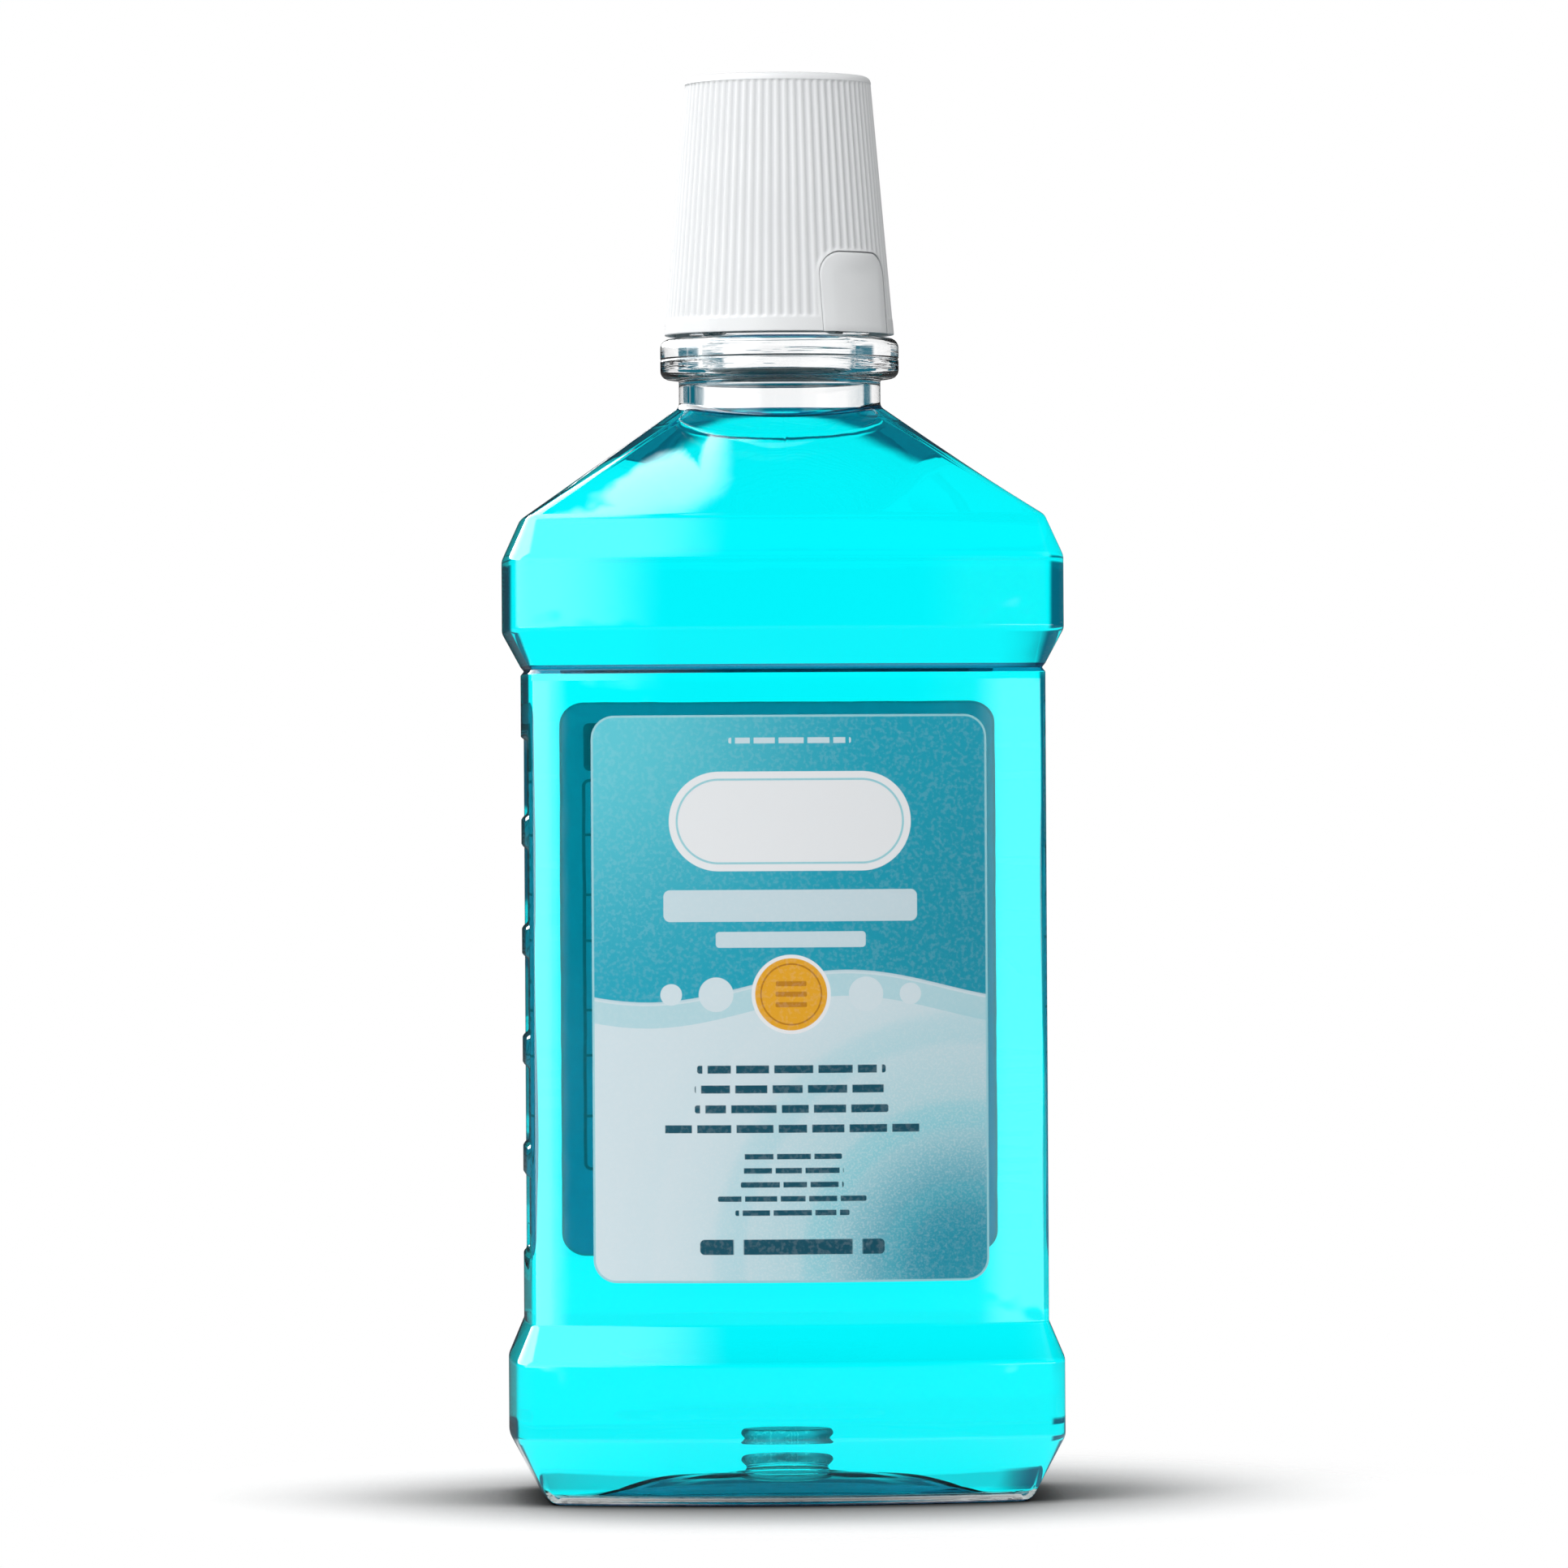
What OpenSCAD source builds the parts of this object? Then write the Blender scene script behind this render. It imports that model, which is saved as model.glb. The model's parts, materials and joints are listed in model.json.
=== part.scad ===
/* [Body] */
// Width of the bottle across its upper bulge
body_w = 78.8; // [74:0.1:90]
// Depth of the bottle across its upper bulge
body_d = 59.1; // [53:0.1:66]
// Bow radius of the front and back panels
front_bow_r = 103; // [90:1:150]
// Bow radius of the two side faces
side_bow_r = 260; // [150:1:400]
// Corner radius of the body at the label panel
corner_r = 2.4; // [1.6:0.1:11]
// Least corner radius, kept where the base draws in
corner_least_r = 0.8; // [0.6:0.1:1.5]
// Thickness of the blown wall
wall = 0.55; // [0.4:0.05:0.9]
// Thickness of the base and of its push-up
base_t = 1.2; // [0.8:0.1:2]

/* [Body heights] */
// Height of the chamfered foot below the lower bulge
foot_h = 9; // [7:0.1:12]
// Height of the straight band of the lower bulge
lower_bulge_h = 10.9; // [8:0.1:14]
// Height of the slope from the lower bulge in to the panel
lower_flank_h = 5.2; // [4:0.1:8]
// Height of the label panel
panel_h = 91.3; // [86:0.1:110]
// Height of the slope from the panel out to the upper bulge
upper_flank_h = 5.4; // [4:0.1:8]
// Height of the straight band of the upper bulge
upper_bulge_h = 10.2; // [8:0.1:14]
// Height of the slope from the upper bulge in to the shoulder
shoulder_edge_h = 5.7; // [4:0.1:8]
// Height of the shoulder from its edge to the neck
shoulder_h = 15.8; // [12:0.1:22]

/* [Body steps] */
// How far the upper bulge stands out from the panel
upper_bulge_out = 2.6; // [1.5:0.1:3.5]
// How far the lower bulge stands out from the panel
lower_bulge_out = 2.2; // [1.5:0.1:3.5]
// How far the foot's sloped side starts in from the panel
foot_slope_in = 1.7; // [1:0.1:2.5]
// How far the standing ring lies in from the panel
foot_in = 3.8; // [3:0.1:5]
// Height of the rounded edge round the standing ring
foot_edge_h = 1.9; // [1:0.1:3]
// Rise of the push-up under the base
push_up_h = 5.9; // [4:0.1:8]
// Radius of the moulding gate's stub inside the push-up
gate_r = 6; // [4:0.1:8]
// Height of that stub above the push-up
gate_h = 2.6; // [1:0.1:4]
// How far the shoulder meets the neck lower at front and back than at the sides
shoulder_dip = 1.6; // [0:0.1:2.5]
// How much fuller than a straight slope the shoulder is at its front and back
shoulder_full = 2.2; // [0:0.1:3]

/* [Side grips] */
// Depth of the grip pocket in each side face
pocket_depth = 0.85; // [0.5:0.05:1.2]
// Distance from the panel's edges to the pocket
pocket_margin = 9.2; // [6:0.1:14]
// Height of the slope at the pocket's ends
pocket_slope_h = 0.7; // [0.4:0.1:1.5]
// Number of raised grip bars in each pocket
grips = 4; // [2:1:5]
// Distance from one grip bar to the next
grip_pitch = 15.35; // [12:0.05:16]
// Height of the flat face of a grip bar
grip_flat_h = 3.4; // [2:0.1:5]
// Height of the slope above and below that face
grip_slope_h = 1.05; // [0.6:0.05:1.8]

/* [Neck] */
// Radius of the neck between shoulder and ring
neck_r = 14.25; // [13.5:0.05:14.8]
// Inside radius of that neck
neck_bore_r = 12; // [11.2:0.05:12.6]
// Height of the neck from the shoulder to the ring
neck_h = 4; // [3:0.1:8]
// Radius of the ring under the cap
ring_r = 16.85; // [16.2:0.05:18]
// Height of the ring
ring_h = 5.6; // [4:0.1:7]
// Radius of the ring's rounded edges
ring_edge_r = 1.2; // [0.6:0.1:2]
// Radius of the plain neck finish inside the cap
finish_r = 12.7; // [12.4:0.05:12.8]
// Bore radius through the finish
mouth_r = 10.9; // [10.2:0.05:11.4]
// Height of the finish from the ring to the lip
finish_h = 18.2; // [16:0.1:20]
// Radius of the rounded lip edges
lip_edge_r = 0.5; // [0.3:0.05:0.7]
// Height of the two lock lugs on the ring
lug_h = 2.8; // [1.5:0.1:3.2]
// Radius of the lock lugs
lug_r = 14.3; // [13.8:0.05:14.4]
// Angle that each lock lug covers
lug_angle = 14; // [8:1:20]
// Height of the fill level above the foot of the neck
fill_above_shoulder = 0.1; // [0:0.1:2]

/* [Labels] */
// Width of each label
label_w = 55; // [40:0.5:56]
// Height of each label
label_h = 78.7; // [60:0.1:82]
// Thickness of the label film
label_t = 0.12; // [0.05:0.01:0.3]
// Thickness of the glue under the label film
glue_t = 0.04; // [0.02:0.01:0.1]
// Radius of the label's corners
label_corner_r = 3.2; // [1:0.1:6]
// How far the front label's centre lies below the panel's middle
front_label_drop = 0.2; // [0:0.1:2]
// How far the back label's centre lies above the panel's middle
back_label_lift = 2; // [0:0.1:2.4]

/* [Cap] */
// Height of the cap
cap_h = 36.4; // [34:0.1:42]
// Radius of the cap at its rim
cap_rim_r = 16.2; // [16:0.05:17]
// Radius of the cap at its top
cap_top_r = 13.05; // [12.8:0.05:14]
// Radius of the rounded top edge
cap_edge_r = 1; // [0.5:0.1:1.5]
// Thickness of the shell's side wall from its smooth faces to its inside
shell_wall = 0.8; // [0.6:0.05:0.9]
// Thickness of the shell's top
shell_top_t = 0.9; // [0.6:0.1:1.5]
// Gap between the ring and the cap's rim
rim_gap = 0.5; // [0.3:0.1:1]
// Height of the smooth band round the rim
band_h = 1.9; // [1:0.1:3]
// Number of ribs round the cap
ribs = 72; // [48:1:90]
// Depth of the grooves between the ribs
rib_depth = 0.28; // [0.15:0.01:0.35]
// How far the smooth band, pads and crown stand out from the rib crests
band_out = 0.05; // [0.03:0.01:0.15]
// Radial clearance between the lock lugs of cap and ring
lug_clear = 0.15; // [0.1:0.05:0.3]

/* [Dosing cup insert] */
// Wall of the threaded cup insert
cup_wall = 0.55; // [0.45:0.05:0.6]
// Bore radius of the insert's threaded skirt
cup_bore_r = 13.6; // [13.5:0.05:13.65]
// Height of the skirt's lower end above the rim
cup_skirt_z = 4.4; // [3.5:0.1:6]
// Height of the threaded length of the skirt
cup_thread_h = 8.6; // [6:0.1:9]
// Radial clearance between the plain finish and the insert
cup_finish_clear = 0.4; // [0.3:0.05:0.45]
// Inside radius of the cup just above the seal
cup_low_r = 12.1; // [11.8:0.05:12.3]
// Inside radius of the cup at its floor
cup_top_r = 11.2; // [10.8:0.05:11.4]
// Thickness of the cup's floor
cup_floor_t = 0.7; // [0.5:0.1:1]
// Radial fit between the insert's bead and the shell
bead_fit = 0.04; // [0.02:0.01:0.06]
// Width of the insert's bead
bead_h = 1; // [0.6:0.1:1.5]

/* [Seal ring] */
// Thickness of the seal ring
seal_t = 1; // [0.7:0.1:1.2]
// Inside radius of the seal ring
seal_in_r = 11.5; // [11.4:0.05:12]
// Radial play of the seal ring in the insert
seal_play = 0.05; // [0.03:0.01:0.1]

/* [Squeeze pads] */
// Half width of each squeeze pad
pad_half_w = 6.6; // [5.5:0.1:7.2]
// Height of each pad above the rim
pad_h = 11.3; // [9:0.1:13]
// Radius of the pad's upper corners
pad_corner_r = 3.4; // [2:0.1:5]
// Width of the seam round each pad
pad_seam = 0.12; // [0.1:0.01:0.2]
// Direction of the first pad, from the front towards the right
pad_azimuth = 44; // [0:1:90]
// Direction of the first ring lug, from the front towards the right
lug_azimuth = -50; // [-80:1:-30]
// Angle by which each cap lug stops short of its ring lug
lug_lead = 17; // [15:1:30]

/* [Hidden] */
$fn = 96;

// Overrun of cutting shapes past the faces that they cut
over = 1;

// Heights of the body's levels, stacked from the standing ring up
lower_bulge_z = foot_h;
lower_edge_z = lower_bulge_z + lower_bulge_h;
panel_z = lower_edge_z + lower_flank_h;
panel_top_z = panel_z + panel_h;
upper_bulge_z = panel_top_z + upper_flank_h;
upper_edge_z = upper_bulge_z + upper_bulge_h;
shoulder_z = upper_edge_z + shoulder_edge_h;
neck_z = shoulder_z + shoulder_h;
ring_z = neck_z + neck_h;
finish_z = ring_z + ring_h;
lip_z = finish_z + finish_h;
fill_z = neck_z + fill_above_shoulder;
panel_mid_z = panel_z + panel_h / 2;

// Half width and half depth of the section at the label panel
half_w = body_w / 2 - upper_bulge_out;
half_d = body_d / 2 - upper_bulge_out;

// Centres of the front bow and of the right side bow
front_c = [0, half_d - front_bow_r];
side_c = [half_w - side_bow_r, 0];

// Shares of the way along the side bow at which the section has points, and the number of
// points that follow on the corner arc and on the front bow of each quarter
side_steps_shares = [0, 0.72, 0.88, 1];
corner_steps = 5;
front_steps = 4;
quarter_n = len(side_steps_shares) - 1 + corner_steps + front_steps;
ring_n = 4 * quarter_n;

// How strongly the pocket and the grip bars show at each of those points
pocket_point_shares = [1, 1, 0.3];
grip_point_shares = [1, 1, 0];

// Shares of a slope's height and depth that round its two edges
bevel_rise_shares = [0, 0.16, 0.84, 1];
bevel_step_shares = [0, 0.07, 0.93, 1];

// Shares of the foot slope's depth still left near its top, and of the foot edge's rise
// and depth at the point that rounds it
foot_top_share = 0.35;
foot_edge_rise_share = 0.25;
foot_edge_out_share = 0.6;

// Shares of the standing ring's size and of the push-up's rise, from the rim inwards
push_up_size_shares = [0.86, 0.78, 0.62, 0.42, 0.2];
push_up_rise_shares = [0, 0.27, 0.66, 0.9, 0.985];

// Shares of the shoulder's run at which it gets a ring of points, the last inside the neck
shoulder_shares = [0.3, 0.6, 0.9, 1.08];

// Cap places, from the ring up
rim_z = finish_z + rim_gap;
cap_slope = (cap_rim_r - cap_top_r) / cap_h;
shell_in_top = cap_h - shell_top_t;
lip_in_cap = lip_z - rim_z;
seal_top = lip_in_cap + seal_t;
cup_plain_r = finish_r + cup_finish_clear;
cup_thread_top = cup_skirt_z + cup_thread_h;
cup_neck_in_h = cup_bore_r - cup_plain_r;
seal_out_r = cup_plain_r - seal_play;
gate_taper_share = 0.85;
liquid_clear = 0.1;

// Shares of one rib's pitch at which its flanks start and end
rib_shares = [0, 0.2, 0.5, 0.7];

function value_at(list, i) = i < len(list) ? list[i] : 0;

// Radius of the cap's smooth faces at a height above its rim
function cap_r(h) = cap_rim_r - cap_slope * h;

// Radius of the shell's inside at a height above its rim
function shell_in_r(h) = cap_r(h) - shell_wall;

// A level of the body: height, offset from the panel, pocket, grip, share of the way
// from the section to the neck's circle, and size share used by the push-up
function level(z, out, pocket = 0, grip = 0, neck = 0, size = 1) = [z, out, pocket, grip, neck, size];

// Levels of a slope from one height and offset to another, with rounded edges
function slope_levels(z0, out0, z1, out1) = [
  for (i = [0:len(bevel_rise_shares) - 1])
    level(z0 + (z1 - z0) * bevel_rise_shares[i], out0 + (out1 - out0) * bevel_step_shares[i])
];

// The corner arc of a section moved out along its normal: centre, directions of the normal at
// its two ends, and radius before the move. The section has four bows, joined by four corner
// arcs that meet them without a kink, so a corner's centre lies at a known distance from the
// centres of both its bows. A section moved far in keeps corners of the least radius.
function corner_arc(out) =
  let (
    r = max(corner_r, corner_least_r - out),
    front_reach = front_bow_r - r,
    side_reach = side_bow_r - r,
    gap = norm(side_c - front_c),
    along = (front_reach ^ 2 - side_reach ^ 2 + gap ^ 2) / (2 * gap),
    across = sqrt(front_reach ^ 2 - along ^ 2),
    gap_dir = (side_c - front_c) / gap,
    c = front_c + gap_dir * along + [gap_dir.y, -gap_dir.x] * across
  )
  [c, atan2(c.y, c.x - side_c.x), atan2(c.y - front_c.y, c.x), r];

// Direction of the normal at the ends of the label's bow
front_start = corner_arc(0)[2];

// One point of the section's first quarter, moved out along the wall's normal
function section_point(i, out) =
  let (
    corner = corner_arc(out),
    side_end = corner[1],
    front_end = corner[2],
    corner_i = i - len(side_steps_shares) + 1,
    front_i = corner_i - corner_steps,
    on_side = corner_i <= 0,
    on_front = front_i > 0,
    dir = on_side ? side_end * side_steps_shares[i]
      : on_front ? front_end + (90 - front_end) * front_i / front_steps
      : side_end + (front_end - side_end) * corner_i / corner_steps,
    centre = on_side ? side_c : on_front ? front_c : corner[0],
    r = on_side ? side_bow_r : on_front ? front_bow_r : corner[3]
  )
  centre + (r + out) * [cos(dir), sin(dir)];

// One point of a level's first quarter, with the pocket and the neck's roundness
function level_point(i, lev, r_neck, dip) =
  let (
    hollow = max(0, value_at(pocket_point_shares, i) - lev[3] * value_at(grip_point_shares, i)),
    p = lev[5] * section_point(i, lev[1] - pocket_depth * lev[2] * hollow),
    towards = p / norm(p),
    q = p * (1 - lev[4]) + towards * r_neck * lev[4],
    full = shoulder_full * sin(180 * min(lev[4], 1))
  )
  [q.x, q.y + full * towards.y ^ 2, lev[0] - dip * lev[4] * towards.y ^ 2];

// The whole ring of a level, mirrored from its first quarter, counter-clockwise from +X
function level_ring(lev, r_neck, dip) =
  let (q = [for (i = [0:quarter_n]) level_point(i, lev, r_neck, dip)])
  concat(
    [for (i = [0:quarter_n - 1]) q[i]],
    [for (i = [quarter_n:-1:1]) [-q[i].x, q[i].y, q[i].z]],
    [for (i = [0:quarter_n - 1]) [-q[i].x, -q[i].y, q[i].z]],
    [for (i = [quarter_n:-1:1]) [q[i].x, -q[i].y, q[i].z]]
  );

// A closed skin through a stack of levels, with a point at each end's centre
module loft(levels, r_neck, dip, low_z, high_z) {
  n = ring_n;
  last = len(levels) - 1;
  rings = [for (lev = levels) each level_ring(lev, r_neck, dip)];
  low = len(rings);
  high = low + 1;
  sides = [
    for (k = [0:last - 1]) for (i = [0:n - 1])
      let (a = k * n + i, b = k * n + (i + 1) % n)
      each [[a, a + n, b + n], [a, b + n, b]]
  ];
  floor_faces = [for (i = [0:n - 1]) [low, i, (i + 1) % n]];
  roof_faces = [for (i = [0:n - 1]) [high, last * n + (i + 1) % n, last * n + i]];
  polyhedron(
    points = concat(rings, [[0, 0, low_z], [0, 0, high_z]]),
    faces = concat(sides, floor_faces, roof_faces)
  );
}

// Levels of the push-up, from its middle out to the standing ring
function push_up_levels(lift, out) = [
  for (i = [len(push_up_size_shares) - 1:-1:0])
    level(lift + push_up_h * push_up_rise_shares[i], out, size = push_up_size_shares[i])
];

// Levels of one side pocket with its grip bars, from its lower slope to its upper slope
function pocket_levels(inset, bars) =
  let (
    low = panel_z + pocket_margin,
    high = panel_top_z - pocket_margin,
    first = (low + high) / 2 - grip_pitch * (bars - 1) / 2,
    flat = grip_flat_h / 2,
    end = flat + grip_slope_h
  )
  concat(
    [level(low, -inset), level(low + pocket_slope_h, -inset, pocket = 1)],
    [
      for (k = [0:1:bars - 1])
        let (z = first + grip_pitch * k)
        each [
          level(z - end, -inset, pocket = 1),
          level(z - flat, -inset, pocket = 1, grip = 1),
          level(z + flat, -inset, pocket = 1, grip = 1),
          level(z + end, -inset, pocket = 1)
        ]
    ],
    [level(high - pocket_slope_h, -inset, pocket = 1), level(high, -inset)]
  );

// Levels of the side walls from the foot to the neck; inset moves them all inwards,
// drop lowers the shoulder, and bars is the number of grip bars
function wall_levels(inset, drop, bars) =
  concat(
    [level(foot_edge_h, -foot_slope_in - inset)],
    [level(foot_h - foot_edge_h / 2, lower_bulge_out - foot_slope_in * foot_top_share - inset)],
    [level(lower_bulge_z, lower_bulge_out - inset)],
    slope_levels(lower_edge_z, lower_bulge_out - inset, panel_z, -inset),
    pocket_levels(inset, bars),
    slope_levels(panel_top_z, -inset, upper_bulge_z, upper_bulge_out - inset),
    slope_levels(upper_edge_z, upper_bulge_out - inset, shoulder_z - drop, -inset),
    [for (s = shoulder_shares) level(shoulder_z + shoulder_h * s - drop * (1 - s), -inset, neck = s)]
  );

function outer_levels() =
  concat(
    push_up_levels(0, -foot_in),
    [level(0, -foot_in)],
    [level(foot_edge_h * foot_edge_rise_share, -foot_in + foot_slope_in * foot_edge_out_share)],
    wall_levels(0, 0, grips)
  );

function inner_levels(gap, bars) =
  concat(
    push_up_levels(base_t + gap, -foot_in - wall - gap),
    [level(base_t + gap, -foot_in - gap)],
    wall_levels(wall + gap, wall + gap, bars)
  );

// The inside of the blown body; gap shrinks it all round for what fills it
module body_inside(gap, bars) {
  loft(inner_levels(gap, bars), neck_bore_r - gap, shoulder_dip, base_t + gap + push_up_h, neck_z);
}

// A ring of revolution with rounded outer edges, standing on z = 0
module rounded_band(r_out, h, edge) {
  rotate_extrude()
    union() {
      square([r_out - edge, h]);
      translate([0, edge]) square([r_out, h - 2 * edge]);
      translate([r_out - edge, edge]) circle(edge);
      translate([r_out - edge, h - edge]) circle(edge);
    }
}

// A solid turned to an azimuth counted from the front towards the right
module at_azimuth(a) {
  rotate(a - 90) children();
}

// Two opposite sectors of a ring, centred on an azimuth
module opposite_sectors(azimuth, angle, r_in, r_out, h) {
  for (side = [0, 180])
    at_azimuth(azimuth + side)
      rotate(-angle / 2)
        rotate_extrude(angle = angle)
          translate([r_in, 0])
            square([r_out - r_in, h]);
}

module neck() {
  sunk = shoulder_dip + over;
  translate([0, 0, neck_z - sunk]) cylinder(r = neck_r, h = neck_h + sunk + ring_edge_r);
  translate([0, 0, ring_z]) rounded_band(ring_r, ring_h, ring_edge_r);
  translate([0, 0, finish_z - ring_edge_r]) rounded_band(finish_r, finish_h + ring_edge_r, lip_edge_r);
  translate([0, 0, finish_z - ring_edge_r])
    opposite_sectors(lug_azimuth, lug_angle, finish_r - lip_edge_r, lug_r, lug_h + ring_edge_r);
}

module mouth_bore() {
  sunk = shoulder_dip + over;
  translate([0, 0, neck_z - sunk]) cylinder(r = neck_bore_r, h = neck_h + sunk);
  translate([0, 0, ring_z - over]) cylinder(r1 = neck_bore_r, r2 = mouth_r, h = 2 * over);
  translate([0, 0, ring_z]) cylinder(r = mouth_r, h = ring_h + finish_h + over);
}

// The stub of the moulding gate that stands up inside the push-up
module gate_stub(gap) {
  translate([0, 0, push_up_h])
    cylinder(r1 = gate_r + gap, r2 = gate_r * gate_taper_share + gap, h = base_t + gate_h + gap);
}

module bottle() {
  color([0.82, 0.93, 0.95, 0.4])
    difference() {
      union() {
        difference() {
          union() {
            loft(outer_levels(), neck_r, shoulder_dip, push_up_h, neck_z);
            neck();
          }
          body_inside(0, grips);
        }
        gate_stub(0);
      }
      mouth_bore();
    }
}

module mouthwash() {
  sunk = shoulder_dip + over;
  color([0, 0.86, 0.95, 0.8])
    difference() {
      intersection() {
        union() {
          body_inside(liquid_clear, 0);
          translate([0, 0, neck_z - sunk]) cylinder(r = neck_bore_r - liquid_clear, h = sunk + neck_h);
        }
        cylinder(r = body_w, h = fill_z);
      }
      gate_stub(liquid_clear);
    }
}

// A film that follows the panel's bow, with rounded corners
module label(mid_z) {
  intersection() {
    translate([0, front_c.y, mid_z - label_h / 2 - over])
      rotate(front_start)
        rotate_extrude(angle = 2 * (90 - front_start))
          translate([front_bow_r + glue_t, 0])
            square([label_t, label_h + 2 * over]);
    translate([0, half_d + over, mid_z])
      rotate([90, 0, 0])
        linear_extrude(half_d + over)
          union() {
            square([label_w - 2 * label_corner_r, label_h], center = true);
            square([label_w, label_h - 2 * label_corner_r], center = true);
            for (sx = [-1, 1]) for (sy = [-1, 1])
              translate([sx * (label_w / 2 - label_corner_r), sy * (label_h / 2 - label_corner_r)])
                circle(label_corner_r);
          }
  }
}

module front_label() {
  color([0.1, 0.66, 0.76])
    rotate(180)
      label(panel_mid_z - front_label_drop);
}

module back_label() {
  color([0.75, 0.88, 0.9])
    label(panel_mid_z + back_label_lift);
}

// Outer form of the cap without its ribs, standing on z = 0, with a rounded top edge
module cap_form() {
  rotate_extrude()
    union() {
      polygon([
        [0, 0],
        [cap_rim_r, 0],
        [cap_r(cap_h - cap_edge_r), cap_h - cap_edge_r],
        [0, cap_h - cap_edge_r]
      ]);
      square([cap_r(cap_h - cap_edge_r) - cap_edge_r, cap_h]);
      translate([cap_r(cap_h - cap_edge_r) - cap_edge_r, cap_h - cap_edge_r]) circle(cap_edge_r);
    }
}

module cap_hollow() {
  rotate_extrude()
    polygon([
      [0, -over],
      [shell_in_r(-over), -over],
      [shell_in_r(shell_in_top), shell_in_top],
      [0, shell_in_top]
    ]);
}

// Outline of the ribs at one height, as a share of a pitch for each flank
function rib_outline(r) = [
  for (k = [0:ribs - 1]) for (j = [0:3])
    let (a = 360 * (k + rib_shares[j]) / ribs, on_crest = j == 1 || j == 2)
    (on_crest ? r : r - rib_depth) * [cos(a), sin(a)]
];

// Ribs that narrow towards the top as the cap does, sunk into the band below
module cap_ribs() {
  low = band_h / 2;
  high = cap_h + over;
  low_r = cap_r(low) - band_out;
  translate([0, 0, low])
    linear_extrude(high - low, scale = (cap_r(high) - band_out) / low_r)
      polygon(rib_outline(low_r));
}

// Upright arch that bounds a squeeze pad, reaching out along the pad's direction
module pad_arch(azimuth, seam) {
  half = pad_half_w - seam;
  top = pad_h - seam;
  at_azimuth(azimuth)
    rotate([90, 0, 90])
      linear_extrude(cap_rim_r + over)
        union() {
          translate([-half, -over]) square([2 * half, top - pad_corner_r + over]);
          translate([pad_corner_r - half, 0]) square([2 * (half - pad_corner_r), top]);
          for (side = [-1, 1])
            translate([side * (half - pad_corner_r), top - pad_corner_r]) circle(pad_corner_r);
        }
}

module cap_shell() {
  lug_low = rim_gap;
  color([0.97, 0.97, 0.98])
    translate([0, 0, rim_z]) {
      difference() {
        union() {
          cylinder(r1 = cap_rim_r, r2 = cap_r(band_h), h = band_h);
          intersection() {
            cap_ribs();
            cap_form();
          }
        }
        cap_hollow();
        for (side = [0, 180]) pad_arch(pad_azimuth + side, 0);
      }
      translate([0, 0, lug_low])
        opposite_sectors(
          lug_azimuth - lug_lead,
          lug_angle,
          lug_r + lug_clear,
          shell_in_r(0) + shell_wall / 2,
          lug_h - lug_low
        );
    }
}

module cap_cup() {
  bead_mid = cup_thread_top - bead_h;
  bead_r = shell_in_r(bead_mid + bead_h / 2) - bead_fit;
  step_r = cup_plain_r + cup_wall;
  step_top = seal_top + cup_wall;
  floor_z = shell_in_top - cup_floor_t;
  color([0.93, 0.94, 0.95])
    translate([0, 0, rim_z])
      difference() {
        union() {
          translate([0, 0, cup_skirt_z]) cylinder(r = cup_bore_r + cup_wall, h = cup_thread_h);
          translate([0, 0, bead_mid - bead_h / 2]) cylinder(r = bead_r, h = bead_h);
          translate([0, 0, cup_thread_top])
            cylinder(r1 = cup_bore_r + cup_wall, r2 = step_r, h = cup_neck_in_h);
          translate([0, 0, cup_thread_top]) cylinder(r = step_r, h = step_top - cup_thread_top);
          translate([0, 0, seal_top])
            cylinder(r1 = cup_low_r + cup_wall, r2 = cup_top_r + cup_wall, h = shell_in_top - seal_top);
        }
        translate([0, 0, cup_skirt_z - over]) cylinder(r = cup_bore_r, h = cup_thread_h + over);
        translate([0, 0, cup_thread_top])
          cylinder(r1 = cup_bore_r, r2 = cup_plain_r, h = cup_neck_in_h);
        translate([0, 0, cup_thread_top]) cylinder(r = cup_plain_r, h = seal_top - cup_thread_top);
        translate([0, 0, seal_top]) cylinder(r1 = cup_low_r, r2 = cup_top_r, h = floor_z - seal_top);
      }
}

module cap_seal() {
  color([0.85, 0.87, 0.88])
    translate([0, 0, lip_z])
      difference() {
        cylinder(r = seal_out_r, h = seal_t);
        translate([0, 0, -over]) cylinder(r = seal_in_r, h = seal_t + 2 * over);
      }
}

// A smooth pad cut out of the shell's wall along its seam
module squeeze_pad(azimuth) {
  color([0.97, 0.97, 0.98])
    translate([0, 0, rim_z])
      intersection() {
        difference() {
          cap_form();
          cap_hollow();
        }
        pad_arch(azimuth, pad_seam);
      }
}

module squeeze_pad_a() {
  squeeze_pad(pad_azimuth);
}

module squeeze_pad_b() {
  squeeze_pad(pad_azimuth + 180);
}

bottle();
mouthwash();
front_label();
back_label();
cap_shell();
cap_cup();
cap_seal();
squeeze_pad_a();
squeeze_pad_b();
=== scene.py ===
# %% [markdown]
# A filled bottle of mouthwash, built up step by step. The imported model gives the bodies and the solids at
# their real size. This file dresses them: it works out smooth surfaces with numpy, lays them on those
# solids, and gives each one a finish made of shader nodes. Lengths are written in millimetres, because that
# is how such a bottle is drawn, and each mesh is turned into metres at the moment it is made.

# %% The frame
import json
import math

import bpy
import numpy as np
from mathutils import Matrix, Vector

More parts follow.
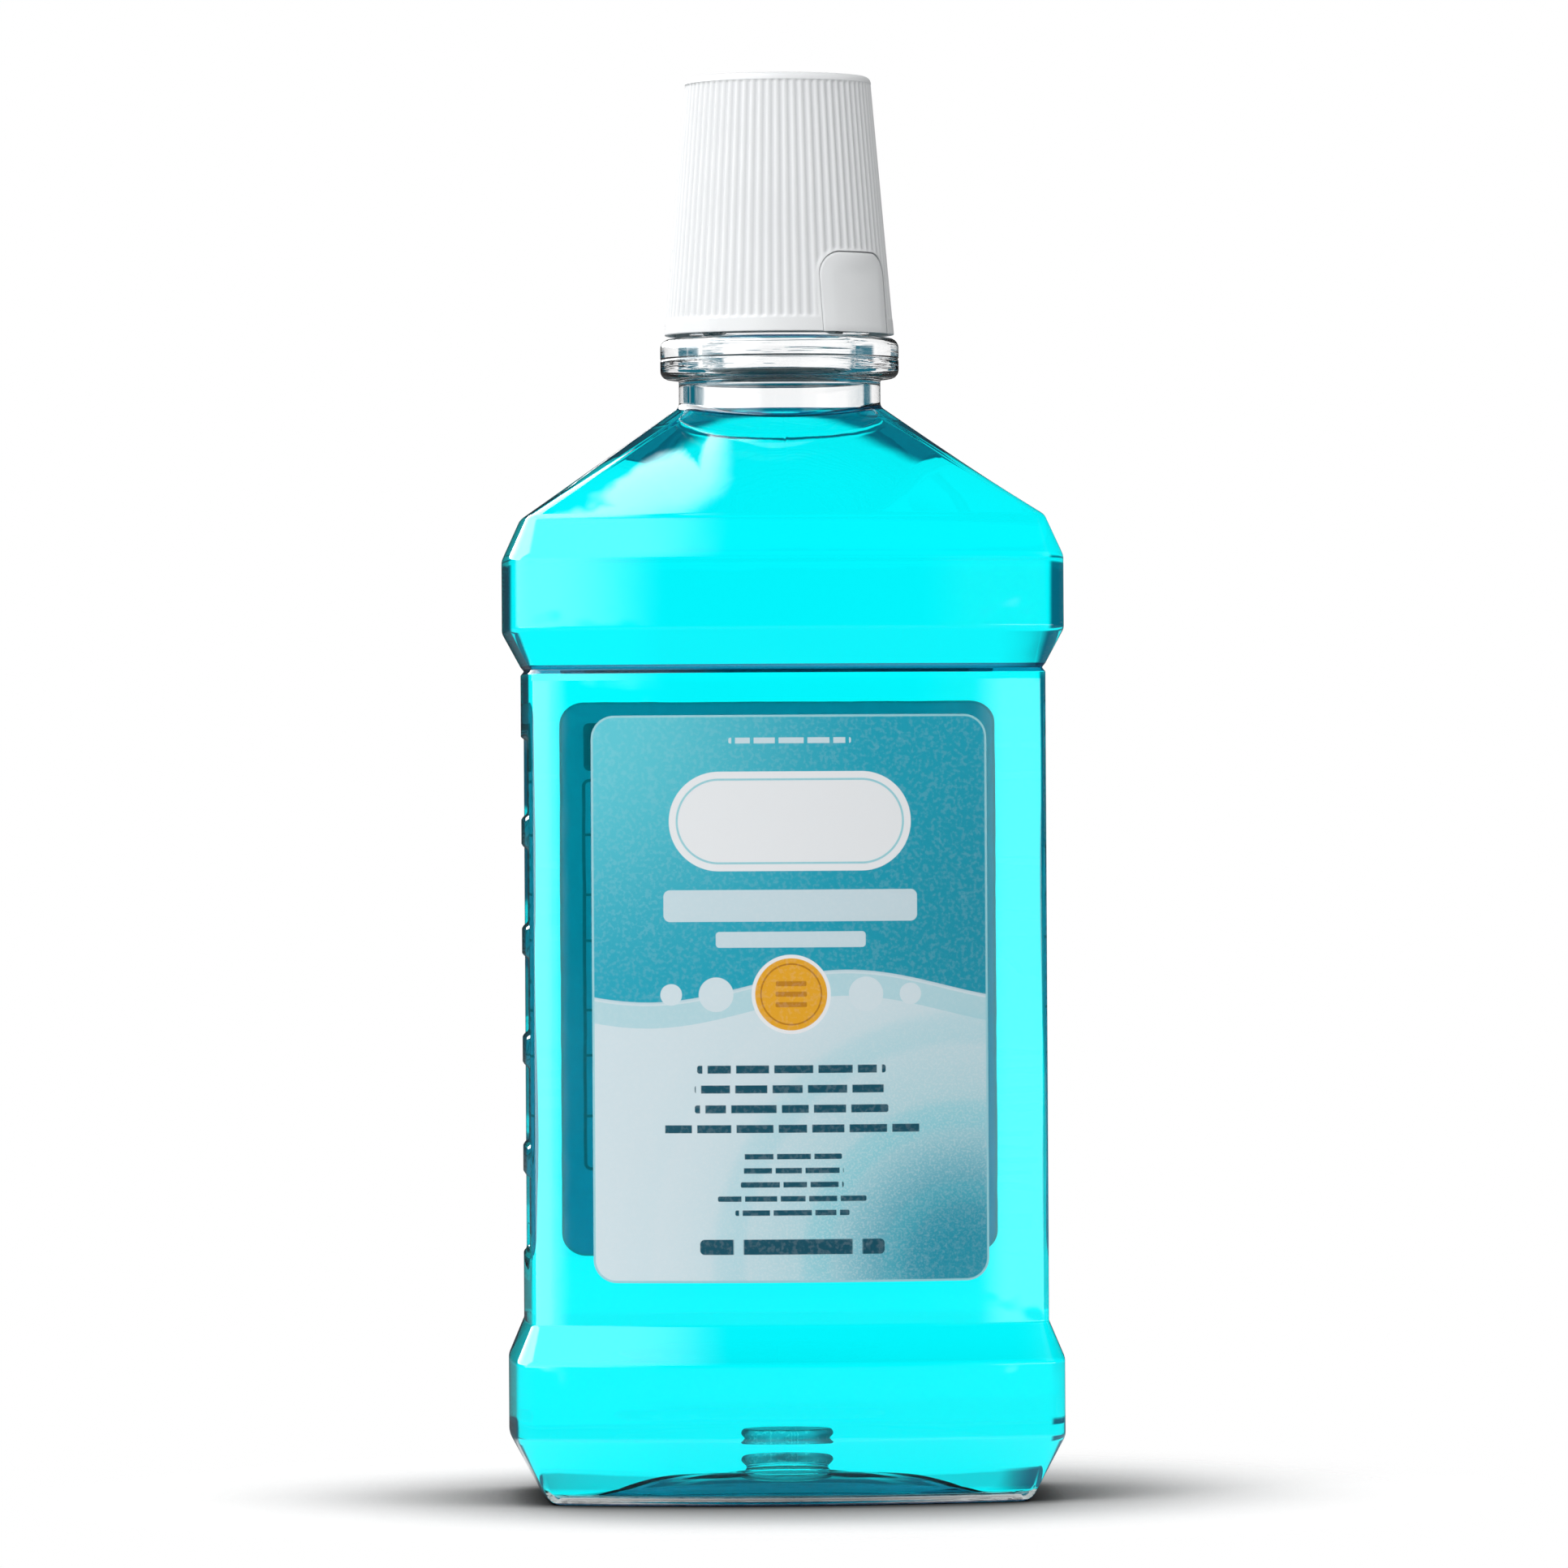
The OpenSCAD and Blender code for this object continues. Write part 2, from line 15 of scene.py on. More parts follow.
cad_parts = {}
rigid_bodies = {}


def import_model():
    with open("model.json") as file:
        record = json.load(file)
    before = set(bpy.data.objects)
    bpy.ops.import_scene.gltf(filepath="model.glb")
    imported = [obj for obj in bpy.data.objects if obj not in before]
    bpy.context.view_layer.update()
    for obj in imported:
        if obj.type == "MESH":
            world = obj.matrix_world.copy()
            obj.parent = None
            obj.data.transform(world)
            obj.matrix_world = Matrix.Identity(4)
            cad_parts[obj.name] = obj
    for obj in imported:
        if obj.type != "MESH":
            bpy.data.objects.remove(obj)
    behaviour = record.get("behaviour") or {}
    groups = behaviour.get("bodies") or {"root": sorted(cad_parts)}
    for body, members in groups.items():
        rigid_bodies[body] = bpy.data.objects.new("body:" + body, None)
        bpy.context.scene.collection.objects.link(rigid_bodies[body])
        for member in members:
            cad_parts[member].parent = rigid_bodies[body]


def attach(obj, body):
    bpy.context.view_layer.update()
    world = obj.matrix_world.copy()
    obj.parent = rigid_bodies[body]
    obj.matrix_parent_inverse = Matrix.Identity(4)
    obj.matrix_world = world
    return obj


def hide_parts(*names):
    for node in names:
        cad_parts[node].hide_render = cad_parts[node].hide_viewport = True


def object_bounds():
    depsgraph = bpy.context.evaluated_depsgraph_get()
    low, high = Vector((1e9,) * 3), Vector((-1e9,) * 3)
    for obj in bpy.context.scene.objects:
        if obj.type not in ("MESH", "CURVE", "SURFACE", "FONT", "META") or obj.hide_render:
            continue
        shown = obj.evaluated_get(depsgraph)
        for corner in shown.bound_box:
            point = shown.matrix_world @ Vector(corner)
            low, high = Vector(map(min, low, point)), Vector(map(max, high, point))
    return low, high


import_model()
cad_low, cad_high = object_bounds()
MM = 0.001

# %% [markdown]
# The camera comes first, because every later choice is judged through it. The picture is square, and the
# bottle stands in it almost without perspective, so the lens is long and the camera stands well back. It is
# level, a hand's breadth above the table, a little to the left of the bottle's front, and turned by a third
# of a degree about its own axis.

# %% The camera
PHOTO_SIDE = 1932
MM_PER_PIXEL = 0.11456
SENSOR_WIDTH = 36
CAMERA_DISTANCE = 1465
CAMERA_HEIGHT = 100.3
CAMERA_SIDE_STEP = 0.3
CAMERA_AZIMUTH = math.radians(-2.4)
CAMERA_ROLL = math.radians(-0.335)

camera_data = bpy.data.cameras.new("camera")
camera_data.sensor_width = SENSOR_WIDTH
camera_data.lens = SENSOR_WIDTH * CAMERA_DISTANCE / (PHOTO_SIDE * MM_PER_PIXEL)
camera = bpy.data.objects.new("camera", camera_data)
stand = Vector((CAMERA_SIDE_STEP, -CAMERA_DISTANCE, CAMERA_HEIGHT)) * MM
turn = Matrix.Rotation(CAMERA_AZIMUTH, 4, "Z")
upright = Matrix.Rotation(math.radians(90), 4, "X")
camera.matrix_world = turn @ Matrix.Translation(stand) @ upright @ Matrix.Rotation(CAMERA_ROLL, 4, "Z")
bpy.context.scene.collection.objects.link(camera)
bpy.context.scene.camera = camera
print("lens in mm:", round(camera_data.lens, 1))

# %% [markdown]
# A handful of helpers write the node trees below. A value that is already a socket is linked, and any other
# value is set on the socket itself, so constants stay on the shader.

# %% Node helpers
WHITE = (1.0, 1.0, 1.0, 1.0)


def feed(tree, socket, value):
    """Links a socket to another socket, or sets its own value."""
    if isinstance(value, bpy.types.NodeSocket):
        tree.links.new(value, socket)
    else:
        socket.default_value = value


def add_node(tree, kind, inputs=None, **settings):
    """A shader node with its settings made and its named inputs fed."""
    node = tree.nodes.new("ShaderNode" + kind)
    for name, value in settings.items():
        setattr(node, name, value)
    for name, value in (inputs or {}).items():
        feed(tree, node.inputs[name], value)
    return node


def maths(tree, operation, *values, clamp=False):
    """One Math node, which gives the result's socket."""
    node = add_node(tree, "Math", operation=operation, use_clamp=clamp)
    for socket, value in zip(node.inputs, values):
        feed(tree, socket, value)
    return node.outputs[0]


def vectors(tree, operation, *values):
    """One Vector Math node, which gives the result's socket."""
    node = add_node(tree, "VectorMath", operation=operation)
    for socket, value in zip(node.inputs, values):
        feed(tree, socket, value)
    return node.outputs["Value"] if operation in ("LENGTH", "DOT_PRODUCT") else node.outputs[0]


def chained(tree, operation, first, others):
    """Two or more values joined one after another by the same operation."""
    for other in others:
        first = maths(tree, operation, first, other)
    return first


def product(tree, first, *others):
    """The product of some values."""
    return chained(tree, "MULTIPLY", first, others)


def total(tree, first, *others):
    """The sum of some values."""
    return chained(tree, "ADD", first, others)


def greatest(tree, first, *others):
    """The greatest of some values."""
    return chained(tree, "MAXIMUM", first, others)


def less(tree, value, taken):
    """A value less another one."""
    return maths(tree, "SUBTRACT", value, taken)


def ramp(tree, value, low, high):
    """0 at low, 1 at high, and a smooth step between them."""
    span = {"Value": value, "From Min": low, "From Max": high}
    return add_node(tree, "MapRange", span, interpolation_type="SMOOTHSTEP").outputs["Result"]


def object_place(tree):
    """The place in the object's own space, in metres."""
    return tree.nodes.new("ShaderNodeTexCoord").outputs["Object"]


def parts_of(tree, vector):
    """The three parts of a vector."""
    return add_node(tree, "SeparateXYZ", {0: vector}).outputs


def flat_vector(tree, across, tall):
    """A vector of two values, with 0 as its third."""
    return add_node(tree, "CombineXYZ", {0: across, 1: tall}).outputs[0]


def noise(tree, place, scale, detail):
    """A noise between 0 and 1, around a half."""
    return add_node(tree, "TexNoise", {"Vector": place, "Scale": scale, "Detail": detail}).outputs[0]


def bumped(tree, height, strength, distance):
    """The normal of a surface that a height bumps."""
    return add_node(tree, "Bump", {"Height": height, "Strength": strength, "Distance": distance}).outputs[0]


def blend_colours(tree, share, first, second):
    """A colour that goes from the first to the second as the share goes from 0 to 1."""
    node = add_node(tree, "Mix", data_type="RGBA")
    feed(tree, node.inputs[0], share)
    feed(tree, node.inputs[6], first)
    feed(tree, node.inputs[7], second)
    return node.outputs[2]


def linear(red, green, blue):
    """The linear colour of screen values from 0 to 255."""
    screen = np.array([red, green, blue]) / 255
    values = np.where(screen <= 0.04045, screen / 12.92, ((screen + 0.055) / 1.055) ** 2.4)
    return (*(float(v) for v in values), 1.0)


def new_material(name):
    """An empty material with its output node, and its tree."""
    material = bpy.data.materials.new(name)
    material.use_nodes = True
    tree = material.node_tree
    tree.nodes.clear()
    output = tree.nodes.new("ShaderNodeOutputMaterial")
    return material, tree, output


print("node helpers are ready")

# %% [markdown]
# Clear plastic shows little but its surroundings, so the world here answers each kind of ray by itself. Rays
# that have gone through the bottle see a bright sheet, the dark cards that a photographer stands beside it
# to draw its edges, a dark ceiling and a dark ground. Rays that glance off its gloss see a dim room with a
# soft box at either side and a bright sheet overhead. The camera sees plain white, and matt surfaces get an
# even grey light, which is dimmer where they see it through the bottle and so makes the bottle's soft
# shadow.

# %% The surroundings
AMBIENT = 0.5
THROUGH_LEVEL = 1.1
CARD_COLOUR = (0.003, 0.13, 0.19, 1.0)
# Each card: direction of its middle from +X towards +Y, half width and edge in degrees, lowest and highest
# sine of elevation
CARDS = (
    (10, 42, 5, -1.0, 1.0),
    (10, 54, 2, 0.2, 1.0),
    (10, 62, 2, 0.33, 1.0),
    (138, 11, 5, -1.0, 1.0),
    (116, 11, 2, -0.06, 0.12),
    (129, 30, 2, 0.2, 1.0),
    (255, 42, 5, -1.0, 1.0),
)
CARD_RISE_EDGE = 0.02
CEILING_START = 0.22
CEILING_END = 0.5
GROUND_START = 0.0
GROUND_END = -0.08
# Far below, the ground is dark: the steep rays that see it show as dark patches beside the neck
DARK_GROUND_START = -0.53
DARK_GROUND_END = -0.59
# Light that a matt place gets from above through the bottle, which makes the bottle's soft shadow
SHADE_LEVEL = 0.08
SHADE_RISE = (0.1, 0.4)
ROOM_LEVEL = 0.02
ROOM_GROUND = 0.1
# Each soft box: direction, half width, its edge, lowest and highest sine of elevation, their edge, light
SOFT_BOXES = (
    (205, 38, 10, 0.013, 0.3, 0.003, 2.5),
    (212, 40, 10, 0.3, 0.8, 0.003, 2.0),
    (205, 29, 3, -0.053, 0.0125, 0.002, 3.8),
    (330, 25, 3, -0.053, 0.0125, 0.002, 2.0),
    (335, 12, 9, 0.2, 0.6, 0.1, 0.5),
)
# The overhead sheet, seen from below: with u = x / z and v = y / z of a direction, it ends at a value of u,
# at a value of v, and at a slanted side where v + lean * u has a value, with a strip beside that side. Each
# is a value and its edge.
OVERHEAD_RIGHT = (-0.21, 0.04)
OVERHEAD_FRONT = (-0.45, 0.12)
OVERHEAD_LEAN = 10.45
OVERHEAD_LEFT = (-2.5, 0.05)
OVERHEAD_STRIP = (-0.252, 0.006)
OVERHEAD_LIGHT = 6.0
OVERHEAD_LOWEST = 0.1


def card_mask(tree, direction, middle, half_width, edge):
    """1 inside a card, from the cosine between the level part of a direction and the card's middle."""
    unit = vectors(tree, "NORMALIZE", vectors(tree, "MULTIPLY", direction, (1.0, 1.0, 0.0)))
    towards = (math.cos(math.radians(middle)), math.sin(math.radians(middle)), 0.0)
    cosine = vectors(tree, "DOT_PRODUCT", unit, towards)
    outer = math.cos(math.radians(half_width + edge))
    inner = math.cos(math.radians(max(half_width - edge, 0)))
    return ramp(tree, cosine, outer, inner)


def mixed(tree, share, first, second):
    """A number that goes from the first to the second as the share goes from 0 to 1."""
    return total(tree, first, product(tree, share, less(tree, second, first)))


def past(tree, value, limit, edge, side):
    """1 where a value is over its limit, for side 1, or under it, for side -1."""
    return ramp(tree, value, limit - side * edge, limit + side * edge)


world = bpy.data.worlds.new("studio")
bpy.context.scene.world = world
world.use_nodes = True
sky = world.node_tree
sky.nodes.clear()
direction = sky.nodes.new("ShaderNodeTexCoord").outputs["Generated"]
side_part, front_part, height = parts_of(sky, direction)
above_ground = ramp(sky, height, GROUND_END, GROUND_START)

dark = ramp(sky, height, CEILING_START, CEILING_END)
for middle, half_width, edge, lowest, highest in CARDS:
    card = card_mask(sky, direction, middle, half_width, edge)
    for limit, side in ((lowest, 1), (highest, -1)):
        if abs(limit) < 1:
            card = product(sky, card, past(sky, height, limit, CARD_RISE_EDGE, side))
    dark = greatest(sky, dark, card)
dark = product(sky, dark, above_ground)
dark = greatest(sky, dark, ramp(sky, height, DARK_GROUND_START, DARK_GROUND_END))

seen_in_gloss = mixed(sky, above_ground, ROOM_GROUND, ROOM_LEVEL)
for middle, half_width, edge, lowest, highest, rise_edge, light in SOFT_BOXES:
    box = card_mask(sky, direction, middle, half_width, edge)
    for limit, side in ((lowest, 1), (highest, -1)):
        box = product(sky, box, past(sky, height, limit, rise_edge, side))
    seen_in_gloss = total(sky, seen_in_gloss, product(sky, box, light))
overhead = maths(sky, "GREATER_THAN", height, OVERHEAD_LOWEST)
rise = greatest(sky, height, OVERHEAD_LOWEST)
u, v = (maths(sky, "DIVIDE", part, rise) for part in (side_part, front_part))
slanted = total(sky, v, product(sky, u, OVERHEAD_LEAN))
overhead = product(sky, overhead, past(sky, u, *OVERHEAD_RIGHT, -1), past(sky, v, *OVERHEAD_FRONT, 1))
left_side = greatest(sky, past(sky, slanted, *OVERHEAD_LEFT, -1), past(sky, u, *OVERHEAD_STRIP, 1))
overhead = product(sky, overhead, left_side)
seen_in_gloss = total(sky, seen_in_gloss, product(sky, overhead, OVERHEAD_LIGHT))

light_path = sky.nodes.new("ShaderNodeLightPath")
strength = AMBIENT
from_matt = maths(sky, "GREATER_THAN", light_path.outputs["Diffuse Depth"], 0.5)
shaded = product(sky, from_matt, ramp(sky, height, *SHADE_RISE))
seen_through = mixed(sky, shaded, THROUGH_LEVEL, SHADE_LEVEL)
for kind, light in (("Glossy", seen_in_gloss), ("Transmission", seen_through), ("Camera", 1.0)):
    strength = mixed(sky, light_path.outputs["Is " + kind + " Ray"], strength, light)
through = product(sky, dark, light_path.outputs["Is Transmission Ray"])
colour = blend_colours(sky, through, WHITE, CARD_COLOUR)
background = add_node(sky, "Background", {"Color": colour, "Strength": strength})
sky_output = sky.nodes.new("ShaderNodeOutputWorld")
sky.links.new(background.outputs[0], sky_output.inputs["Surface"])
bpy.context.scene.view_settings.view_transform = "Standard"
print("cards:", len(CARDS), "soft boxes:", len(SOFT_BOXES))

# %% [markdown]
# The floor is a pale round table top. Near the bottle it is matt and takes the bottle's soft shadow, and it
# is darkest close to the bottle, where little of the space above it is open. Farther out it fades away into
# the white, so that no edge or horizon shows from any side.

# %% The floor
FLOOR_RADIUS = 900
FLOOR_RINGS, FLOOR_SPOKES = 12, 96
FLOOR_FADE_START = 0.05
FLOOR_FADE_END = 0.11
FLOOR_GLOW = 0.15
FLOOR_MATT = 0.86
FLOOR_BOUNCE = 0.8
FLOOR_THROUGH = 0.9
# Painted shadow under the bottle: its light there, and the distances between which it grows to the full
FLOOR_UNDER_SHADOW = 0.2
FLOOR_SHADOW_SPAN = (0.012, 0.045)
# Shade beside the bottle: how far off a thing still shades the table top, from which side, and how strongly
SHADE_REACH = 0.05
SHADE_SIDE = (-0.62, 0.34, 0.71)
SHADE_POWER = 2.3


def floor_material():
    """Matt white that takes shadows for rays that look at it, fading to clear with distance.

    Rays that have gone through the bottle see a glow in its place, with a painted shadow under the bottle.
    """
    material, tree, output = new_material("table_top")
    distance = vectors(tree, "LENGTH", object_place(tree))
    path = tree.nodes.new("ShaderNodeLightPath")
    looked_at = greatest(tree, path.outputs["Is Camera Ray"], path.outputs["Is Glossy Ray"])
    space = {"Distance": SHADE_REACH, "Normal": SHADE_SIDE}
    open_share = add_node(tree, "AmbientOcclusion", space).outputs["AO"]
    open_share = maths(tree, "POWER", open_share, SHADE_POWER)
    matt_seen = add_node(tree, "BsdfDiffuse", {"Color": product(tree, open_share, FLOOR_MATT)})
    glow_seen = product(tree, open_share, FLOOR_GLOW)
    glow = add_node(tree, "Emission", {"Color": WHITE, "Strength": glow_seen})
    lit = add_node(tree, "AddShader", {0: matt_seen.outputs[0], 1: glow.outputs[0]})
    matt = add_node(tree, "BsdfDiffuse", {"Color": (FLOOR_BOUNCE, FLOOR_BOUNCE, FLOOR_BOUNCE, 1.0)})
    near = add_node(tree, "MixShader", {0: looked_at, 1: matt.outputs[0], 2: lit.outputs[0]})
    # Painted shadow: the glow that rays through the bottle see is dim under it
    seen_through = mixed(tree, ramp(tree, distance, *FLOOR_SHADOW_SPAN), FLOOR_UNDER_SHADOW, FLOOR_THROUGH)
    through = add_node(tree, "Emission", {"Color": WHITE, "Strength": seen_through})
    seen = add_node(tree, "MixShader", {
        0: path.outputs["Is Transmission Ray"], 1: near.outputs[0], 2: through.outputs[0]})
    clear = add_node(tree, "BsdfTransparent")
    far = ramp(tree, distance, FLOOR_FADE_START, FLOOR_FADE_END)
    faded = add_node(tree, "MixShader", {0: far, 1: seen.outputs[0], 2: clear.outputs[0]})
    tree.links.new(faded.outputs[0], output.inputs["Surface"])
    return material


def round_sheet(radius, rings, around):
    """A flat disc: ring k lies at radius * k / rings, and its points go round in even steps."""
    angles = np.linspace(0, 2 * math.pi, around, endpoint=False)
    radii = radius * np.arange(1, rings + 1)[:, None] / rings
    return np.stack(np.broadcast_arrays(radii * np.cos(angles), radii * np.sin(angles), 0.0), -1)


print("floor radius in mm:", FLOOR_RADIUS)

# %% [markdown]
# Almost every piece of a bottle is a skin carried round an axis or along a stack of levels. One helper turns
# a grid of points into such a mesh: rows are the levels, columns go round, the last column joins the first,
# and each end is closed by a fan to one point in its middle.

# %% Grid meshes
def make_object(name, points, faces, material):
    """An object at the origin with its points in millimetres turned into metres, shaded smooth."""
    mesh = bpy.data.meshes.new(name)
    mesh.from_pydata((np.asarray(points) * MM).tolist(), [], faces)
    mesh.polygons.foreach_set("use_smooth", np.ones(len(mesh.polygons), bool))
    mesh.materials.append(material)
    made = bpy.data.objects.new(name, mesh)
    bpy.context.scene.collection.objects.link(made)
    return made


def tube_faces(rows, columns, start=0, closed_rows=False):
    """Faces of a grid whose columns close round: (k, i), (k, i + 1), (k + 1, i + 1), (k + 1, i)."""
    row = np.arange(rows if closed_rows else rows - 1)[:, None]
    column = np.arange(columns)[None, :]
    right = (column + 1) % columns
    above = (row + 1) % rows
    quads = np.stack(np.broadcast_arrays(
        row * columns + column, row * columns + right, above * columns + right, above * columns + column,
    ), -1)
    return (quads.reshape(-1, 4) + start).tolist()


def fan_faces(columns, row_start, middle, upwards):
    """Triangles from one ring to a point in its middle, facing up or down."""
    column = np.arange(columns)
    right = (column + 1) % columns
    ends = (column, right) if upwards else (right, column)
    fans = np.stack([ends[0] + row_start, ends[1] + row_start, np.full(columns, middle)], -1)
    return fans.tolist()


def closed_skin(name, grid, first_point, last_point, material, *finishes):
    """A closed mesh of one grid whose first and last rings run to a point each.

    Each further finish is a material and a mark for each row: faces between two marked rows get it, and so
    does the fan at a marked row.
    """
    rows, columns, _ = grid.shape
    count = rows * columns
    points = np.concatenate([grid.reshape(-1, 3), [first_point, last_point]])
    faces = tube_faces(rows, columns)
    faces += fan_faces(columns, 0, count, False)
    faces += fan_faces(columns, count - columns, count + 1, True)
    made = make_object(name, points, faces, material)
    slots = np.zeros(rows + 1, np.int32)
    for slot, (finish, marked) in enumerate(finishes, 1):
        made.data.materials.append(finish)
        slots[np.concatenate([marked[:-1] & marked[1:], marked[:1], marked[-1:]])] = slot
    made.data.polygons.foreach_set("material_index", np.repeat(slots, columns))
    return made


floor_points = round_sheet(FLOOR_RADIUS, FLOOR_RINGS, FLOOR_SPOKES)
floor_count = floor_points.shape[0] * floor_points.shape[1]
floor_faces = tube_faces(*floor_points.shape[:2])
floor_faces = [face[::-1] for face in floor_faces]
floor_faces += fan_faces(floor_points.shape[1], 0, floor_count, True)
floor_all = np.concatenate([floor_points.reshape(-1, 3), [[0, 0, 0]]])
floor = make_object("floor", floor_all, floor_faces, floor_material())
print("floor faces:", len(floor.data.polygons))

# %% [markdown]
# A drawing of a bottle gives its profile as straight stretches whose corners are rounded by arcs. The next
# helper draws such a profile, and another one adds points on its long stretches so that the grid stays even.

# %% Profiles
def rounded_path(corners, radii, arc_steps=5):
    """Points along a polyline whose inner corners are arcs.

    A corner that turns by t with radius r is touched at r * tan(t / 2) on both sides of it. The arc runs
    round the point that lies r to the inner side of the first touching point.
    """
    corners = np.asarray(corners, float)
    parts = [corners[:1]]
    for before, corner, after, radius in zip(corners[:-2], corners[1:-1], corners[2:], radii):
        ahead, onward = corner - before, after - corner
        legs = np.linalg.norm(ahead), np.linalg.norm(onward)
        ahead, onward = ahead / legs[0], onward / legs[1]
        turned = math.atan2(ahead[0] * onward[1] - ahead[1] * onward[0], float(ahead @ onward))
        if radius == 0 or abs(turned) < 1e-6:
            parts.append(corner[None])
            continue
        touch = min(radius * math.tan(abs(turned) / 2), 0.48 * min(legs))
        radius = touch / math.tan(abs(turned) / 2)
        inward = math.copysign(1, turned) * np.array([-ahead[1], ahead[0]])
        centre = corner - ahead * touch + inward * radius
        angles = np.linspace(0, turned, arc_steps + 1)
        arm = -inward * radius
        turned_x = arm[0] * np.cos(angles) - arm[1] * np.sin(angles)
        turned_y = arm[0] * np.sin(angles) + arm[1] * np.cos(angles)
        parts.append(centre + np.stack([turned_x, turned_y], -1))
    parts.append(corners[-1:])
    return np.concatenate(parts)


def with_even_steps(path, longest):
    """The same path with extra points, evenly spaced, on each stretch that is longer than the given step."""
    lengths = np.linalg.norm(np.diff(path, axis=0), axis=1)
    counts = np.maximum(1, np.ceil(lengths / longest)).astype(int)
    parts = [a + (b - a) * np.arange(n)[:, None] / n for a, b, n in zip(path[:-1], path[1:], counts)]
    return np.concatenate([*parts, path[-1:]])


def with_firm_ends(path, reach=0.13, least=1.0):
    """The same path with a point close to both ends of each long stretch, which keeps its shading flat."""
    parts = []
    for start, end in zip(path[:-1], path[1:]):
        length = np.linalg.norm(end - start)
        shares = np.array([0, reach / length, 1 - reach / length] if length > least else [0.0])
        parts.append(start + (end - start) * shares[:, None])
    return np.concatenate([*parts, path[-1:]])


def smooth_step(values, start, end):
    """0 before start, 1 after end, and 3t^2 - 2t^3 between them."""
    share = np.clip((np.asarray(values, float) - start) / (end - start), 0, 1)
    return share * share * (3 - 2 * share)


print("a rounded right angle has", len(rounded_path([(0, 0), (1, 0), (1, 1)], [0.3])), "points")

# %% [markdown]
# Seen from above, the body is four shallow bows joined by four tight corners. The skin is easiest to
# describe by the direction of its outward normal: each direction belongs to one arc, and moving the skin
# outwards moves each point along its own normal. Where the base draws in, the tight corners would vanish, so
# they keep a least radius there and their arcs start a little earlier.

# %% The body's section
BODY_WIDTH = 2 * cad_high.x / MM
BODY_DEPTH = 2 * cad_high.y / MM
UPPER_BULGE_OUT = 2.6
FRONT_BOW = 103
SIDE_BOW = 260
CORNER = 2.4
LEAST_CORNER = 0.8
HALF_WIDTH = BODY_WIDTH / 2 - UPPER_BULGE_OUT
HALF_DEPTH = BODY_DEPTH / 2 - UPPER_BULGE_OUT
SIDE_POINTS, CORNER_POINTS, FRONT_POINTS = 13, 12, 20
# Distances from the middle of front and back that carry the narrow parting line
PARTING_STEPS = (0.13, 0.24, 0.54)
front_centre = np.array([0, HALF_DEPTH - FRONT_BOW])
side_centre = np.array([HALF_WIDTH - SIDE_BOW, 0])


def corner_arc(offset):
    """Centre, first and last direction and radius of a corner at an offset.

    A corner that meets both bows without a kink has its centre at bow - corner from the middle of each bow.
    """
    radius = max(CORNER, LEAST_CORNER - offset)
    front_reach, side_reach = FRONT_BOW - radius, SIDE_BOW - radius
    between = side_centre - front_centre
    gap = np.linalg.norm(between)
    along = (front_reach**2 - side_reach**2 + gap**2) / (2 * gap)
    across = math.sqrt(front_reach**2 - along**2)
    centre = front_centre + between / gap * along + np.array([between[1], -between[0]]) / gap * across
    first = math.atan2(centre[1], centre[0] - side_centre[0])
    last = math.atan2(centre[1] - front_centre[1], centre[0])
    return centre, first, last, radius


def section_arcs(offset):
    """For every column round the body: the normal's direction, and the centre and radius of its arc."""
    centre, first, last, radius = corner_arc(offset)
    parting = np.asarray(PARTING_STEPS) / FRONT_BOW
    side = np.linspace(0, first, SIDE_POINTS)
    corner = np.linspace(first, last, CORNER_POINTS + 1)[1:]
    front = np.linspace(last, math.pi / 2 - 2 * parting.max(), FRONT_POINTS + 1)[1:]
    front = np.concatenate([front, math.pi / 2 - parting[::-1], [math.pi / 2]])
    quarter = np.concatenate([side, corner, front])
    counts = [len(side), len(corner), len(front)]
    centres = np.repeat([side_centre, centre, front_centre], counts, axis=0)
    radii = np.repeat([SIDE_BOW, radius, FRONT_BOW], counts)
    turn = np.concatenate([quarter, (math.pi - quarter[::-1])[1:]])
    turn = np.concatenate([turn, (turn + math.pi)[1:-1]])
    half_centres = np.concatenate([centres, (centres[::-1] * (-1, 1))[1:]])
    all_centres = np.concatenate([half_centres, -half_centres[1:-1]])
    half_radii = np.concatenate([radii, radii[::-1][1:]])
    return turn, all_centres, np.concatenate([half_radii, half_radii[1:-1]])


ROUND = section_arcs(0)[0]
COLUMNS = len(ROUND)


def section(offsets):
    """Outlines moved out by offsets of each level and column: arc centre + (radius + offset) * normal."""
    rows = []
    for row in offsets:
        turn, centre, radius = section_arcs(float(row.min()))
        rows.append(centre + (radius + row)[:, None] * np.stack([np.cos(turn), np.sin(turn)], -1))
    return np.stack(rows)


plain = section(np.zeros((1, COLUMNS)))[0]
PLACE_ROUND = np.arctan2(plain[:, 1], plain[:, 0])
print("columns round the body:", COLUMNS, "corner centre:", corner_arc(0)[0].round(2), "corner arc from",
      [round(math.degrees(angle), 1) for angle in corner_arc(0)[1:3]])

# %% [markdown]
# A level of the bottle is then a short row of numbers: its height, how far the skin stands out from the
# label panel, its size as a share of the whole outline, which draws the base, and how far it has turned into
# the neck's circle. The skin blends the outline p with a circle of radius r in the same direction, so one
# grid runs from the standing ring over the shoulder into the round neck. The side faces are let in a little
# for the fingers, with four bars left standing.

